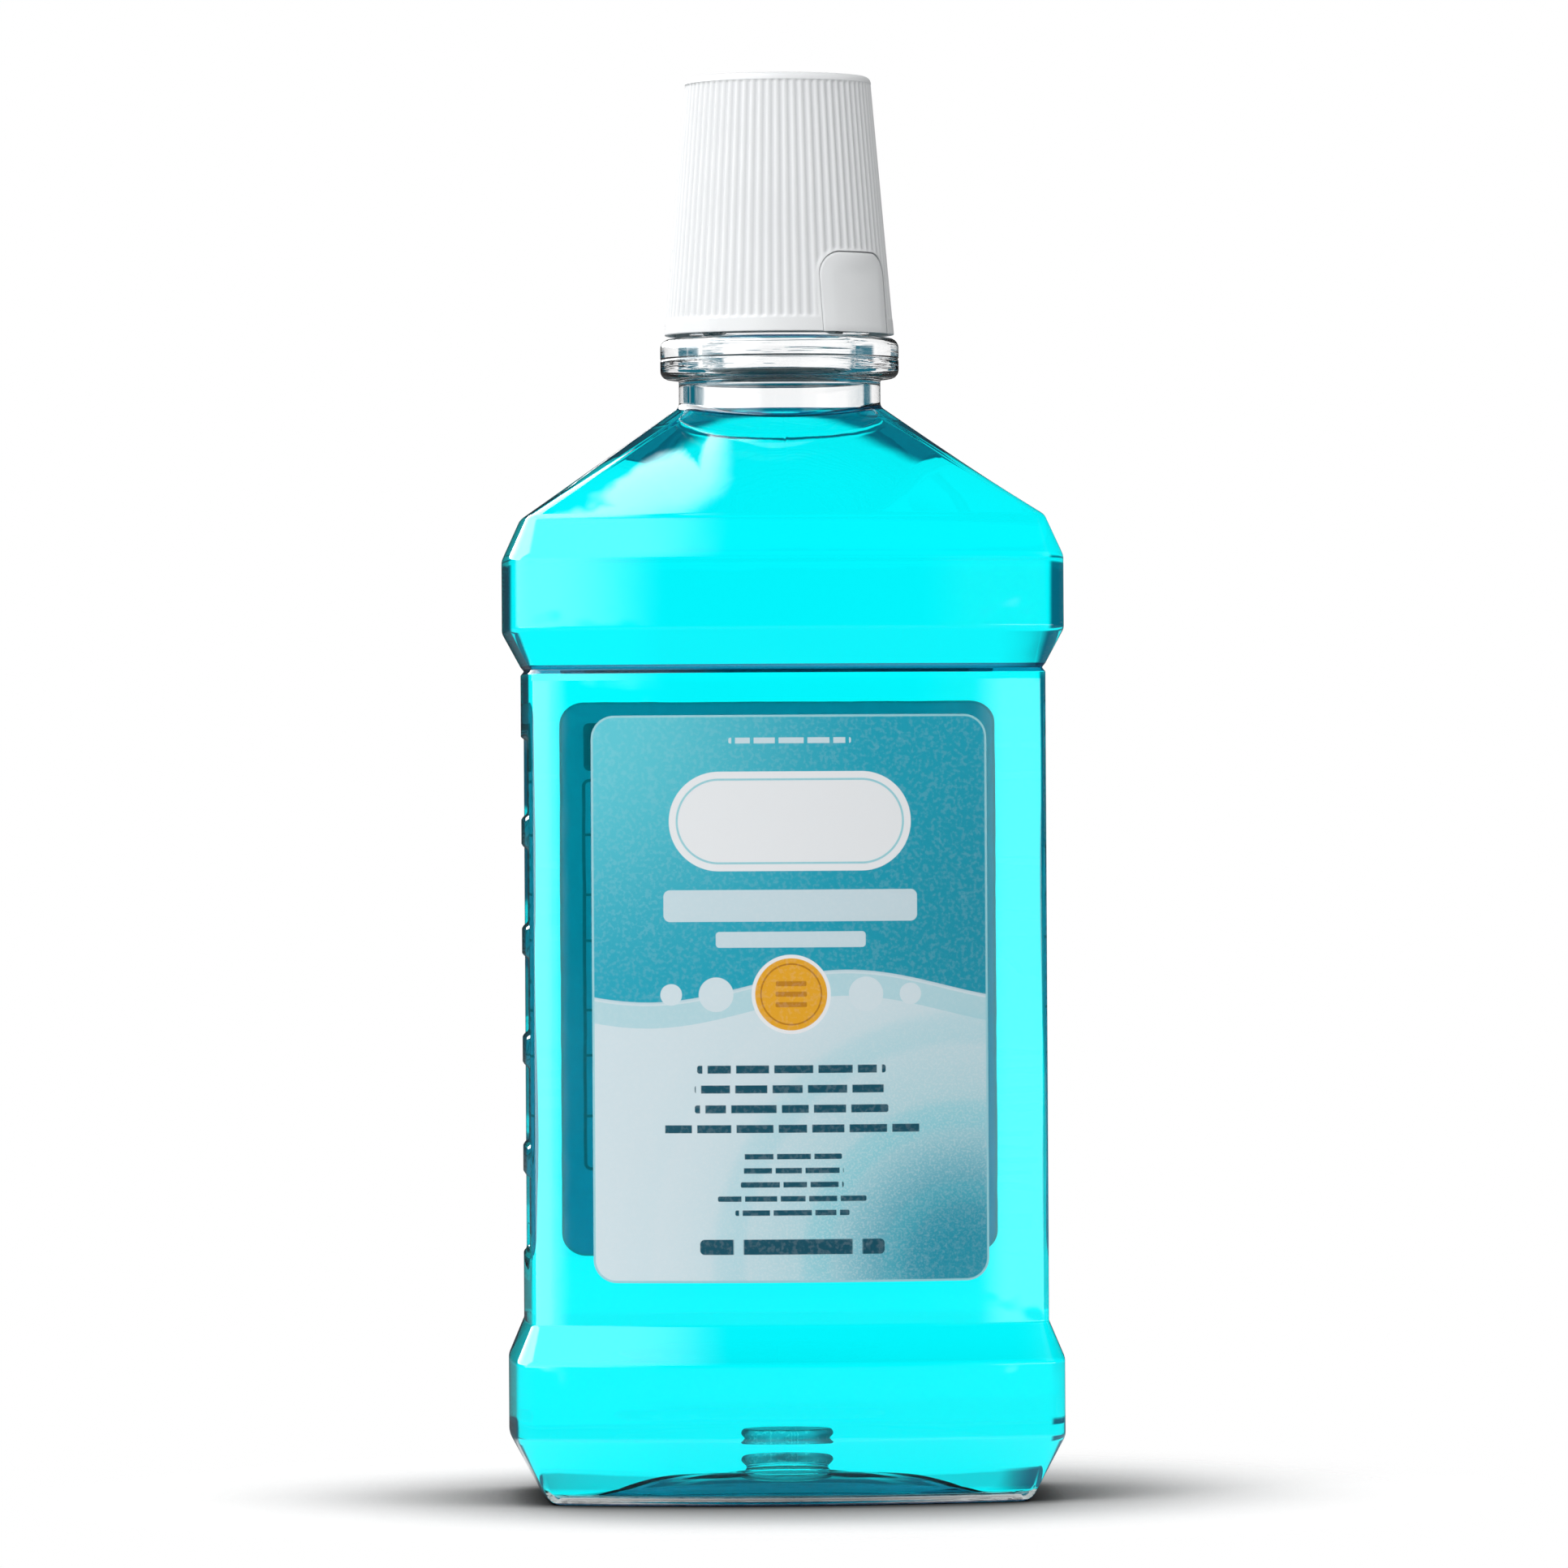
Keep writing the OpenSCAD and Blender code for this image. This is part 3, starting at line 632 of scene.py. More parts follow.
# %% The body's levels
WALL = 0.55
BASE = 1.2
FOOT_IN = 2.72
LOWER_BULGE = (9.17, 19.9)
LOWER_BULGE_OUT = 2.2
PANEL = (25.1, 116.4)
UPPER_BULGE = (121.8, 132.0)
SHOULDER = 137.7
NECK = 153.5
NECK_RADIUS = 14.25
NECK_BORE = 12.0
SHOULDER_DIP = 1.6
SHOULDER_FULL = 2.2
NECK_ROUND = 1.0
NECK_FOLD = 0.5
CREASE_HALF, CREASE_DEPTH = 0.6, 0.5
POCKET_DEPTH = 0.85
POCKET_MARGIN = 9.2
POCKET_SLOPE = 0.7
POCKET_FADE = (15.3, 18.6)
GRIPS = 4
GRIP_PITCH = 15.35
GRIP_FLAT = 3.4
GRIP_SLOPE = 1.05
GRIP_FADE = (12.2, 14.6)
pocket_low, pocket_high = PANEL[0] + POCKET_MARGIN, PANEL[1] - POCKET_MARGIN
grip_middles = (pocket_low + pocket_high) / 2 + GRIP_PITCH * (np.arange(GRIPS) - (GRIPS - 1) / 2)
from_middle = np.abs(plain[:, 1])


def pocket(heights):
    """Depth of the side pockets: a band of heights times a fade before the corner, less the four bars."""
    heights = np.asarray(heights)[:, None]
    band = smooth_step(heights, pocket_low, pocket_low + POCKET_SLOPE)
    band = band * (1 - smooth_step(heights, pocket_high - POCKET_SLOPE, pocket_high))
    bars = sum(
        1 - smooth_step(np.abs(heights - middle), GRIP_FLAT / 2, GRIP_FLAT / 2 + GRIP_SLOPE)
        for middle in grip_middles
    )
    reach = (1 - smooth_step(from_middle, *POCKET_FADE)) * (np.abs(plain[:, 0]) > HALF_WIDTH - 3)
    bar_ends = 1 - smooth_step(from_middle, *GRIP_FADE)
    return POCKET_DEPTH * band * np.clip(reach - bars * bar_ends, 0, 1)


def skin(heights, out, size, share, radius, dip, extra=0.0):
    """Grid of points of a stack of levels, all given as one value for each level.

    p = size * section(out - pocket + extra); q = (1 - share) * p + share * (radius + extra) * p / |p|,
    and the height drops by dip * (p_y / |p|) ^ 2, so the neck joins the shoulder lower at front and back.
    There the shoulder is fuller than a straight slope, by full * sin(pi * share).
    """
    heights, out, size, share, radius, dip = (np.asarray(v, float)[:, None] for v in (
        heights, out, size, share, radius, dip))
    p = size[..., None] * section(out - pocket(heights[:, 0]) + extra * (1 - share))
    towards = p / np.linalg.norm(p, axis=-1, keepdims=True)
    q = (1 - share)[..., None] * p + (share * (radius + extra))[..., None] * towards
    fullness = SHOULDER_FULL * np.sin(math.pi * np.clip(share, 0, 1)) * (heights > PANEL[1])
    q[..., 1] += fullness * towards[..., 1] * np.abs(towards[..., 1])
    z = heights - dip * towards[..., 1] ** 2
    return np.concatenate([q, z[..., None]], -1)


def panel_heights(steps=4):
    """Heights at which the panel needs a level: the ends of the pocket, and the slopes of each bar."""
    half, end = GRIP_FLAT / 2, GRIP_FLAT / 2 + GRIP_SLOPE
    slopes = [np.linspace(middle + side * half, middle + side * end, steps)
              for middle in grip_middles for side in (-1, 1)]
    ends = [np.linspace(pocket_low, pocket_low + POCKET_SLOPE, steps),
            np.linspace(pocket_high - POCKET_SLOPE, pocket_high, steps)]
    between = np.arange(PANEL[0] + 2.5, PANEL[1] - 2, 3.5)
    heights = np.sort(np.concatenate([*slopes, *ends, between]))
    return heights[np.concatenate([[True], np.diff(heights) > 0.05])]


def side_levels(wall, drop, neck_radius, rounding):
    """Levels from the foot to the neck: a path of offset and height, with the run to the neck as its end.

    Offsets below the panel's own are the way in to the neck, counted as a share of the whole run.
    """
    run = HALF_WIDTH - wall - neck_radius
    lean = (LOWER_BULGE_OUT + FOOT_IN) / LOWER_BULGE[0]
    foot = -FOOT_IN - wall * math.hypot(1, lean) + drop * lean
    lower = rounded_path(
        [(foot - 3, drop), (foot, drop), (LOWER_BULGE_OUT - wall, LOWER_BULGE[0] + wall * lean / 2),
         (LOWER_BULGE_OUT - wall, LOWER_BULGE[1] - wall / 5), (-wall, PANEL[0] - wall / 5),
         (-wall, PANEL[0] + 2)],
        [2.6 + wall, 2.2 - rounding, 1.6 - rounding, 0.9 + rounding], arc_steps=4)
    middle = np.stack([np.full(len(panel_heights()), -wall), panel_heights()], -1)
    upper = rounded_path(
        [(-wall, PANEL[1] - 1.6), (-wall, PANEL[1] - CREASE_HALF), (-wall - CREASE_DEPTH, PANEL[1]),
         (-wall, PANEL[1] + CREASE_HALF), (UPPER_BULGE_OUT - wall, UPPER_BULGE[0] + wall / 5),
         (UPPER_BULGE_OUT - wall, UPPER_BULGE[1] - wall / 5), (-wall, SHOULDER - wall * 0.6),
         (-wall - run, NECK - wall * 0.6), (-wall - run, NECK + 2.6)],
        [0.2, 0.25, 0.2, 1.6 - rounding, 2.2 - rounding, 1.8 - rounding, NECK_ROUND + wall], arc_steps=4)
    path = with_even_steps(np.concatenate([with_firm_ends(lower), middle, with_firm_ends(upper)]), 4.5)
    offset, heights = path.T
    high = heights > UPPER_BULGE[1]
    share = np.where(high, np.clip((-wall - offset) / run, 0, 1), 0)
    out = np.where(high, np.maximum(offset, -wall), offset)
    dip = SHOULDER_DIP * share * (1 - smooth_step(heights, NECK + 0.4, NECK + 2.6))
    ones = np.ones(len(heights))
    return np.stack([heights, out, ones, share, neck_radius * ones, dip])


outer_side = side_levels(0, 0, NECK_RADIUS, 0)
inner_side = side_levels(WALL, BASE, NECK_BORE, 0.5)
print("levels of the side walls:", outer_side.shape[1], "outside,", inner_side.shape[1], "inside")

# %% [markdown]
# The base of a blown bottle is pushed up into a dome, so that it stands on a ring and not on a belly. In its
# middle the plastic of the blank stays thick and leaves a short stub with a lip, which shows well through
# the liquid. Above the shoulder the neck is turned: a ring that the cap comes down to, two lock lugs, and
# the threaded finish with its rounded lip.

# %% Base, neck and finish
PUSH_UP = 5.9
PUSH_UP_SHARE = 0.86
PUSH_UP_POWER = 3.2
STUB_RADIUS = 6.1
STUB_TOP = 9.8
STUB_CLOUDED = 1.5
STUB_SINK = 0.55
RING = (157.4, 163.1)
RING_RADIUS = 16.85
RING_SEAM = 160.15
FINISH_RADIUS = 12.7
MOUTH_RADIUS = 10.9
LIP = 181.3
LUG_RADIUS = 14.3
LUG_HEIGHT = 2.8
LUG_DIRECTION = -140
LUG_HALF_ANGLE = 7
LUG_SLOPE_ANGLE = 1.5
THREAD_LEAD = 4.233
THREAD_START = 166.4
THREAD_TURNS = 1.5
THREAD_RISE = 0.72
THREAD_FLANK = (0.35, 1.05)
WAVE = 0.07
column_angle = np.degrees(PLACE_ROUND)


def dome(size, lift):
    """Height of the push-up where its outline has a share of the full size: 1 - (share / edge) ^ power."""
    return lift + PUSH_UP * np.clip(1 - (size / PUSH_UP_SHARE) ** PUSH_UP_POWER, 0, 1)


def turned(path):
    """Levels of a turned stretch, from a path of radius and height."""
    radius, heights = np.asarray(path).T
    ones = np.ones(len(heights))
    return np.stack([heights, 0 * ones, ones, ones, radius, 0 * ones])


def base_levels(inset, lift, sizes):
    """Levels of the base from its middle outwards, turning from a circle into the body's outline."""
    size = np.asarray(sizes, float)
    share = 1 - smooth_step(size, 0.2, 0.55)
    radius = size * (HALF_DEPTH - 2)
    zero = 0 * size
    return np.stack([dome(size, lift), zero - inset, size, share, radius, zero])


def thread_rise(heights, angle, start, rise, flank):
    """How far a screw thread stands out: the height above the nearest turn of its helix, through a ramp."""
    turns = (np.asarray(heights)[:, None] - start) / THREAD_LEAD - (angle % 360) / 360
    nearest = np.clip(np.round(turns), 0, math.ceil(THREAD_TURNS))
    along = nearest + (angle % 360) / 360
    distance = np.abs(turns - nearest) * THREAD_LEAD
    ends = smooth_step(along, 0.0, 0.08) * (1 - smooth_step(along, THREAD_TURNS - 0.08, THREAD_TURNS))
    return rise * ends * (1 - smooth_step(distance, *flank))


def lug_rise(heights, angle):
    """The two lock lugs: a band of heights times a band of angles on opposite sides."""
    away = np.abs((angle - LUG_DIRECTION + 90) % 180 - 90)
    band = 1 - smooth_step(np.asarray(heights)[:, None], RING[1] + LUG_HEIGHT - 0.3, RING[1] + LUG_HEIGHT)
    across = 1 - smooth_step(away, LUG_HALF_ANGLE - LUG_SLOPE_ANGLE, LUG_HALF_ANGLE + LUG_SLOPE_ANGLE)
    return (LUG_RADIUS - FINISH_RADIUS) * band * across


neck_path = rounded_path(
    [(NECK_RADIUS, NECK + 2.8), (NECK_RADIUS, RING[0]), (RING_RADIUS, RING[0]),
     (RING_RADIUS, RING_SEAM - 0.2), (RING_RADIUS - 0.14, RING_SEAM), (RING_RADIUS, RING_SEAM + 0.2),
     (RING_RADIUS, RING[1]),
     (FINISH_RADIUS, RING[1]), (FINISH_RADIUS, RING[1] + 1)],
    [0.5, 1.7, 0.2, 0.15, 0.2, 1.6, 0.2], arc_steps=5)
finish_path = rounded_path(
    [(FINISH_RADIUS, RING[1] + 1.2), (FINISH_RADIUS, LIP), (MOUTH_RADIUS, LIP), (MOUTH_RADIUS, LIP - 2)],
    [0.5, 0.7], arc_steps=4)
bore_path = rounded_path(
    [(MOUTH_RADIUS, LIP - 2.5), (MOUTH_RADIUS, RING[0] + 1.2), (NECK_BORE, RING[0] - 0.8),
     (NECK_BORE, NECK + 2.8)],
    [1.2, 1.2], arc_steps=4)
neck_levels = turned(with_even_steps(neck_path, 1.0))
finish_levels = turned(with_even_steps(finish_path, 0.45))
bore_levels = turned(with_even_steps(bore_path, 3.0))
stub_path = rounded_path(
    [(0.4, STUB_TOP - 0.5), (2.2, STUB_TOP - 0.15), (STUB_RADIUS - 0.3, STUB_TOP),
     (STUB_RADIUS, STUB_TOP - 0.7), (STUB_RADIUS - 0.9, STUB_TOP - 1.8),
     (STUB_RADIUS - 0.2, PUSH_UP + BASE + 0.25),
     (STUB_RADIUS + 2.6, PUSH_UP + BASE - 0.15)],
    [0.6, 0.5, 0.5, 0.6, 1.0], arc_steps=4)
stub_levels = turned(with_even_steps(stub_path, 0.6))
print("levels of neck, finish and bore:", neck_levels.shape[1], finish_levels.shape[1], bore_levels.shape[1])

# %% [markdown]
# The bottle itself is one closed skin: it starts in the middle of the base, runs out to the standing ring
# and up the outside, turns over the lip, and comes back down the inside to the middle of the base again.
# Blown plastic is never quite even, so the inside wanders a little, and a fine raised line where the two
# halves of the mould met runs up the front and the back.

# %% The bottle's skin
PARTING_HEIGHT = 0.03
PARTING_HALF_WIDTH = 0.25
OUTER_SIZES = np.concatenate([np.linspace(0.04, 0.8, 16), [0.83, 0.85, 0.86, 0.88, 0.93, 0.97]])
INNER_SIZES = np.linspace(0.3, 0.98, 20)
STAND_IN = 4.2


def blown_wave(heights, amount):
    """A slow uneven swell of the wall: a product of sines of height and direction with unlike periods."""
    tall, around = np.asarray(heights)[:, None] / 10, ROUND[None, :]
    slow = np.sin(0.9 * tall + 2 * np.sin(2 * around + 0.6)) + np.sin(1.7 * tall + 3 * around + 1.1)
    return amount * 0.5 * slow


def parting_line(heights, low, high):
    """A low ridge in the middle of front and back, in a skin that is sunk by the ridge's own height."""
    beside = np.abs(np.cos(ROUND)) * FRONT_BOW
    ridge = np.exp(-(beside / PARTING_HALF_WIDTH) ** 2)
    tall = np.asarray(heights)[:, None]
    band = smooth_step(tall, low, low + 2) * (1 - smooth_step(tall, high - 1, high))
    return PARTING_HEIGHT * (ridge - 1) * band


def inside_levels(wall, lift):
    """Levels of the inside from the neck down to the stub in the middle of the base."""
    side = side_levels(wall, lift, NECK_BORE + WALL - wall, 0.5)
    base = base_levels(STAND_IN + wall, lift, INNER_SIZES)
    return np.concatenate([side[:, ::-1], base[:, ::-1]], 1)


outer = np.concatenate([base_levels(STAND_IN, 0, OUTER_SIZES), outer_side, neck_levels, finish_levels], 1)
outer_extra = parting_line(outer[0], 3, LIP - 1)
threaded = outer[0] > RING[1] + 0.9
on_finish = threaded & (outer[4] > MOUTH_RADIUS + 1.2)
thread = thread_rise(outer[0], column_angle, THREAD_START, THREAD_RISE, THREAD_FLANK)
outer_extra = outer_extra + np.where(on_finish[:, None], thread + lug_rise(outer[0], column_angle), 0)
inside = inside_levels(WALL, BASE)
inside_extra = blown_wave(inside[0], WAVE) * (inside[3] < 0.5)[:, None] * (inside[2] > 0.99)[:, None]
bottle_grid = np.concatenate([
    skin(*outer, extra=outer_extra), skin(*bore_levels),
    skin(*inside, extra=inside_extra), skin(*stub_levels[:, ::-1]),
])
print("levels of the bottle:", len(bottle_grid), "faces:", bottle_grid.shape[0] * bottle_grid.shape[1])

# %% [markdown]
# Bottle plastic bends light more strongly than the liquid, and the liquid more strongly than air. A renderer
# only knows one bending for each surface, which is the ratio of the two sides. So the bottle's skin has two
# main finishes: dry, against air, and wetted, where the liquid lies against its inside. Its surface is
# smooth with a faint unevenness, as the skin of blown plastic has it. Its tight folds get a dark tint, which
# is painted shade, and the thick stub in the base is clouded.

# %% Clear plastic
PLASTIC_BENDING = 1.575
LIQUID_BENDING = 1.333
FILL = 152.6
CLIMB = 0.5
# A ray that crosses the filled bottle, turns at the far label and comes back passes a dozen surfaces
SURFACES_CROSSED = 20
STREAK_SHARE = 1.2
# Painted shade, a dark tint on the folds at the crease and the neck and on the edge that it stands on
FOOT_SHADE_HEIGHT = 0.6
FOLD_SHADE_TINT = (0.06, 0.08, 0.18, 1.0)
CLOUDED, CLOUD_SPECK = (0.3, 0.5, 0.56, 1.0), (0.95, 1.0, 1.0, 1.0)
bpy.context.scene.cycles.max_bounces = SURFACES_CROSSED
bpy.context.scene.cycles.transmission_bounces = SURFACES_CROSSED


def clear_material(name, bending, ripple_strength=0.0, colour=WHITE):
    """A clear body whose surface bends light by a ratio; with a ripple it also has streaks in its ring."""
    material, tree, output = new_material(name)
    shader = add_node(tree, "BsdfPrincipled", {
        "Base Color": colour, "Roughness": 0.0, "IOR": bending, "Transmission Weight": 1.0,
    })
    if ripple_strength:
        place = object_place(tree)
        ripple = noise(tree, place, 90.0, 2.0)
        drawn = vectors(tree, "MULTIPLY", place, (60.0, 60.0, 1400.0))
        streaks = noise(tree, drawn, 1.0, 2.0)
        tall = parts_of(tree, place)[2]
        in_ring = product(tree, ramp(tree, tall, RING[0] * MM, (RING[0] + 1) * MM),
                       ramp(tree, tall, (RING[1] + 0.3) * MM, (RING[1] - 0.4) * MM))
        height = total(tree, ripple, product(tree, streaks, in_ring, STREAK_SHARE))
        tree.links.new(bumped(tree, height, ripple_strength, 0.0006), shader.inputs["Normal"])
    tree.links.new(shader.outputs[0], output.inputs["Surface"])
    return material, tree, output


dry_plastic = clear_material("clear_plastic", PLASTIC_BENDING, 0.06)[0]
# Painted shade: this plastic carries a dark tint
fold_shade_plastic = clear_material("fold_shade_plastic", PLASTIC_BENDING, colour=FOLD_SHADE_TINT)[0]
wetted_plastic = clear_material("wetted_plastic", PLASTIC_BENDING / LIQUID_BENDING)[0]


def clouded_material(name):
    """The stub's plastic cooled slowly and is clouded: rough, darker, and with pale specks."""
    material, tree, output = new_material(name)
    place = object_place(tree)
    specks = noise(tree, place, 1500.0, 3.0)
    colour = blend_colours(tree, ramp(tree, specks, 0.52, 0.66), CLOUDED, CLOUD_SPECK)
    bump = bumped(tree, specks, 0.7, 0.0002)
    shader = add_node(tree, "BsdfPrincipled", {
        "Base Color": colour, "Roughness": 0.35, "IOR": PLASTIC_BENDING / LIQUID_BENDING,
        "Transmission Weight": 1.0, "Normal": bump})
    tree.links.new(shader.outputs[0], output.inputs["Surface"])
    return material


outside_rows = len(outer[0]) + len(bore_levels[0])
wetted = (np.arange(len(bottle_grid)) >= outside_rows) & (bottle_grid[..., 2].max(1) < FILL + CLIMB)
on_stub = (np.arange(len(bottle_grid)) >= len(bottle_grid) - stub_levels.shape[1]) & (
    bottle_grid[..., 2].max(1) > STUB_TOP - STUB_CLOUDED)
at_crease, at_neck = np.abs(outer[0] - PANEL[1]) < CREASE_HALF, np.abs(outer[0] - NECK) < NECK_FOLD
# Rows that get the painted shade: the crease, the neck's fold and the foot's edge
shaded_folds = at_crease | at_neck | (outer[0] < FOOT_SHADE_HEIGHT)
shaded_folds = np.concatenate([shaded_folds, np.zeros(len(bottle_grid) - len(shaded_folds), bool)])
bottle = closed_skin(
    "bottle_skin", bottle_grid, [0, 0, PUSH_UP], [0, 0, STUB_TOP - STUB_SINK], dry_plastic,
    (wetted_plastic, wetted), (fold_shade_plastic, shaded_folds), (clouded_material("clouded_plastic"), on_stub))
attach(bottle, "bottle")
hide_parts("bottle")
print("bottle faces:", len(bottle.data.polygons), "wetted levels:", int(wetted.sum()))

# %% [markdown]
# The liquid fills the bottle to the foot of the neck. It swallows red light within a few millimetres and
# lets green and blue through, so it turns a pure blue-green. Its sides lie a hair inside the wall's plastic,
# so that no film of air is left between them. They bend nothing, because the wetted plastic already does,
# and only its level top, which climbs a little at the wall, bends light as a liquid does.

# %% The liquid
LAP = 0.05
RED_LOSS, GREEN_LOSS, BLUE_LOSS = 170.0, 1.6, 0.3


def liquid_material(name, bending):
    """Clear, with a loss of light by colour, given as the share that one unit of density takes."""
    material, tree, output = clear_material(name, bending)
    kept = (0.0, 1 - GREEN_LOSS / RED_LOSS, 1 - BLUE_LOSS / RED_LOSS, 1.0)
    loss = add_node(tree, "VolumeAbsorption", {"Color": kept, "Density": RED_LOSS})
    tree.links.new(loss.outputs[0], output.inputs["Volume"])
    return material


lapped = inside_levels(WALL - LAP, BASE - LAP)
lapped_extra = blown_wave(lapped[0], WAVE) * (lapped[3] < 0.5)[:, None] * (lapped[2] > 0.99)[:, None]
body_rows = skin(*lapped, extra=lapped_extra)[::-1]
under_fill = lapped[0][::-1] < FILL - 0.5
bore = NECK_BORE + LAP
surface_levels = turned(rounded_path(
    [(bore, FILL - 0.3), (bore, FILL + CLIMB), (bore - 0.4, FILL + 0.35 * CLIMB), (bore - 1.4, FILL),
     (0.4, FILL)],
    [0.1, 0.3, 0.8]))
stub_skin = stub_levels + np.array([-LAP, 0, 0, 0, -LAP, 0])[:, None]
liquid_grid = np.concatenate([skin(*stub_skin), body_rows[under_fill], skin(*surface_levels)])
top_rows_of_liquid = np.arange(len(liquid_grid)) > len(liquid_grid) - surface_levels.shape[1]
liquid = closed_skin("mouthwash_fill", liquid_grid, [0, 0, STUB_TOP - STUB_SINK - LAP], [0, 0, FILL],
                     liquid_material("mouthwash", 1.0),
                     (liquid_material("mouthwash_top", LIQUID_BENDING), top_rows_of_liquid))
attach(liquid, "bottle")
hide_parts("mouthwash")
print("liquid faces:", len(liquid.data.polygons))

# %% [markdown]
# A label film or a squeeze pad is a thin plate with a rounded outline. Each row of its grid runs from one
# edge to the other, and rows in the rounded corners are shorter, so the outline is exact. The plate has an
# outer face and an inner one, which strips join all round into a closed thin solid.

# %% Thin plates
def row_half_width(heights, half_width, low, high, low_corner, high_corner):
    """Half width of a plate at a height: in a corner of radius r it is w - r + sqrt(r^2 - d^2)."""
    heights = np.asarray(heights, float)
    result = np.full(len(heights), float(half_width))
    corners = (low + low_corner - heights, low_corner), (heights - high + high_corner, high_corner)
    for depth, corner in corners:
        inside_corner = np.clip(depth, 0, corner)
        result -= corner - np.sqrt(corner**2 - inside_corner**2)
    return result


def plate_rows(low, high, low_corner, high_corner, straight_steps, corner_steps=10):
    """Heights of the rows: arcs in the corners are cut at even angles, the straight stretch at even steps."""
    quarter_turn = np.linspace(0, math.pi / 2, corner_steps + 1)
    lower = low + low_corner * (1 - np.cos(quarter_turn))
    upper = high - high_corner * (1 - np.cos(quarter_turn[::-1]))
    between = np.linspace(lower[-1], upper[0], straight_steps + 1)
    return np.unique(np.round(np.concatenate([lower, between, upper]), 5))


def plate_object(name, outside, inside, material):
    """A closed plate from two grids of the same rows and columns; the outside grid faces its viewer."""
    rows, columns, _ = outside.shape
    count = rows * columns
    index = np.arange(count).reshape(rows, columns)
    quads = np.stack([index[:-1, :-1], index[:-1, 1:], index[1:, 1:], index[1:, :-1]], -1).reshape(-1, 4)
    rim = np.concatenate([index[0, :], index[1:, -1], index[-1, -2::-1], index[-2:0:-1, 0]])
    beyond = np.roll(rim, -1)
    strips = np.stack([beyond, rim, rim + count, beyond + count], -1)
    faces = np.concatenate([quads, quads[:, ::-1] + count, strips])
    points = np.concatenate([outside.reshape(-1, 3), inside.reshape(-1, 3)])
    made = make_object(name, points, faces.tolist(), material)
    made.data.set_sharp_from_angle(angle=math.radians(50))
    return made


print("rows of a plate 10 high with corners of 2:", len(plate_rows(0, 10, 2, 2, 4)))

# %% [markdown]
# The print on the films is drawn by shader nodes, in millimetres from the middle of each label. Nearly every
# shape in it is a box with rounded corners, and a disc is such a box too, so one node group gives the share
# of ink for a box. A second group sets rows of short bars of uneven length, which stand for lines of small
# print, and a third gives the skin that printed film and moulded plastic have in common: small uneven swells
# in colour and gloss, and a fine grain to bump the surface with.

# %% Print shapes
INK_EDGE = 0.06
VECTOR, NUMBER = "NodeSocketVector", "NodeSocketFloat"


def new_group(name, inputs, outputs):
    """A shader node group: inputs are names with a kind and a value, outputs are names with a kind."""
    group = bpy.data.node_groups.new(name, "ShaderNodeTree")
    for label, kind, value in inputs:
        group.interface.new_socket(label, in_out="INPUT", socket_type=kind).default_value = value
    for label, kind in outputs:
        group.interface.new_socket(label, in_out="OUTPUT", socket_type=kind)
    return group, group.nodes.new("NodeGroupInput").outputs, group.nodes.new("NodeGroupOutput").inputs


def box_group():
    """Ink of a rounded box, inside its edge.

    q = |p - middle| - (half - r), and the distance from the edge is |max(q, 0)| + min(max(q_x, q_y), 0) - r.
    """
    group, given, wanted = new_group(
        "rounded_box",
        [("Place", VECTOR, (0, 0, 0)), ("Middle", VECTOR, (0, 0, 0)), ("Half Size", VECTOR, (1, 1, 0)),
         ("Corner", NUMBER, 0.5)],
        [("Ink", NUMBER), ("Distance", NUMBER)])
    away = vectors(group, "ABSOLUTE", vectors(group, "SUBTRACT", given["Place"], given["Middle"]))
    corner = flat_vector(group, given["Corner"], given["Corner"])
    q = vectors(group, "ADD", vectors(group, "SUBTRACT", away, given["Half Size"]), corner)
    split = parts_of(group, q)
    outside = vectors(group, "LENGTH", vectors(group, "MAXIMUM", q, (0.0, 0.0, 0.0)))
    within = maths(group, "MINIMUM", greatest(group, split[0], split[1]), 0.0)
    distance = less(group, total(group, outside, within), given["Corner"])
    group.links.new(distance, wanted["Distance"])
    group.links.new(ramp(group, distance, INK_EDGE, -INK_EDGE), wanted["Ink"])
    return group


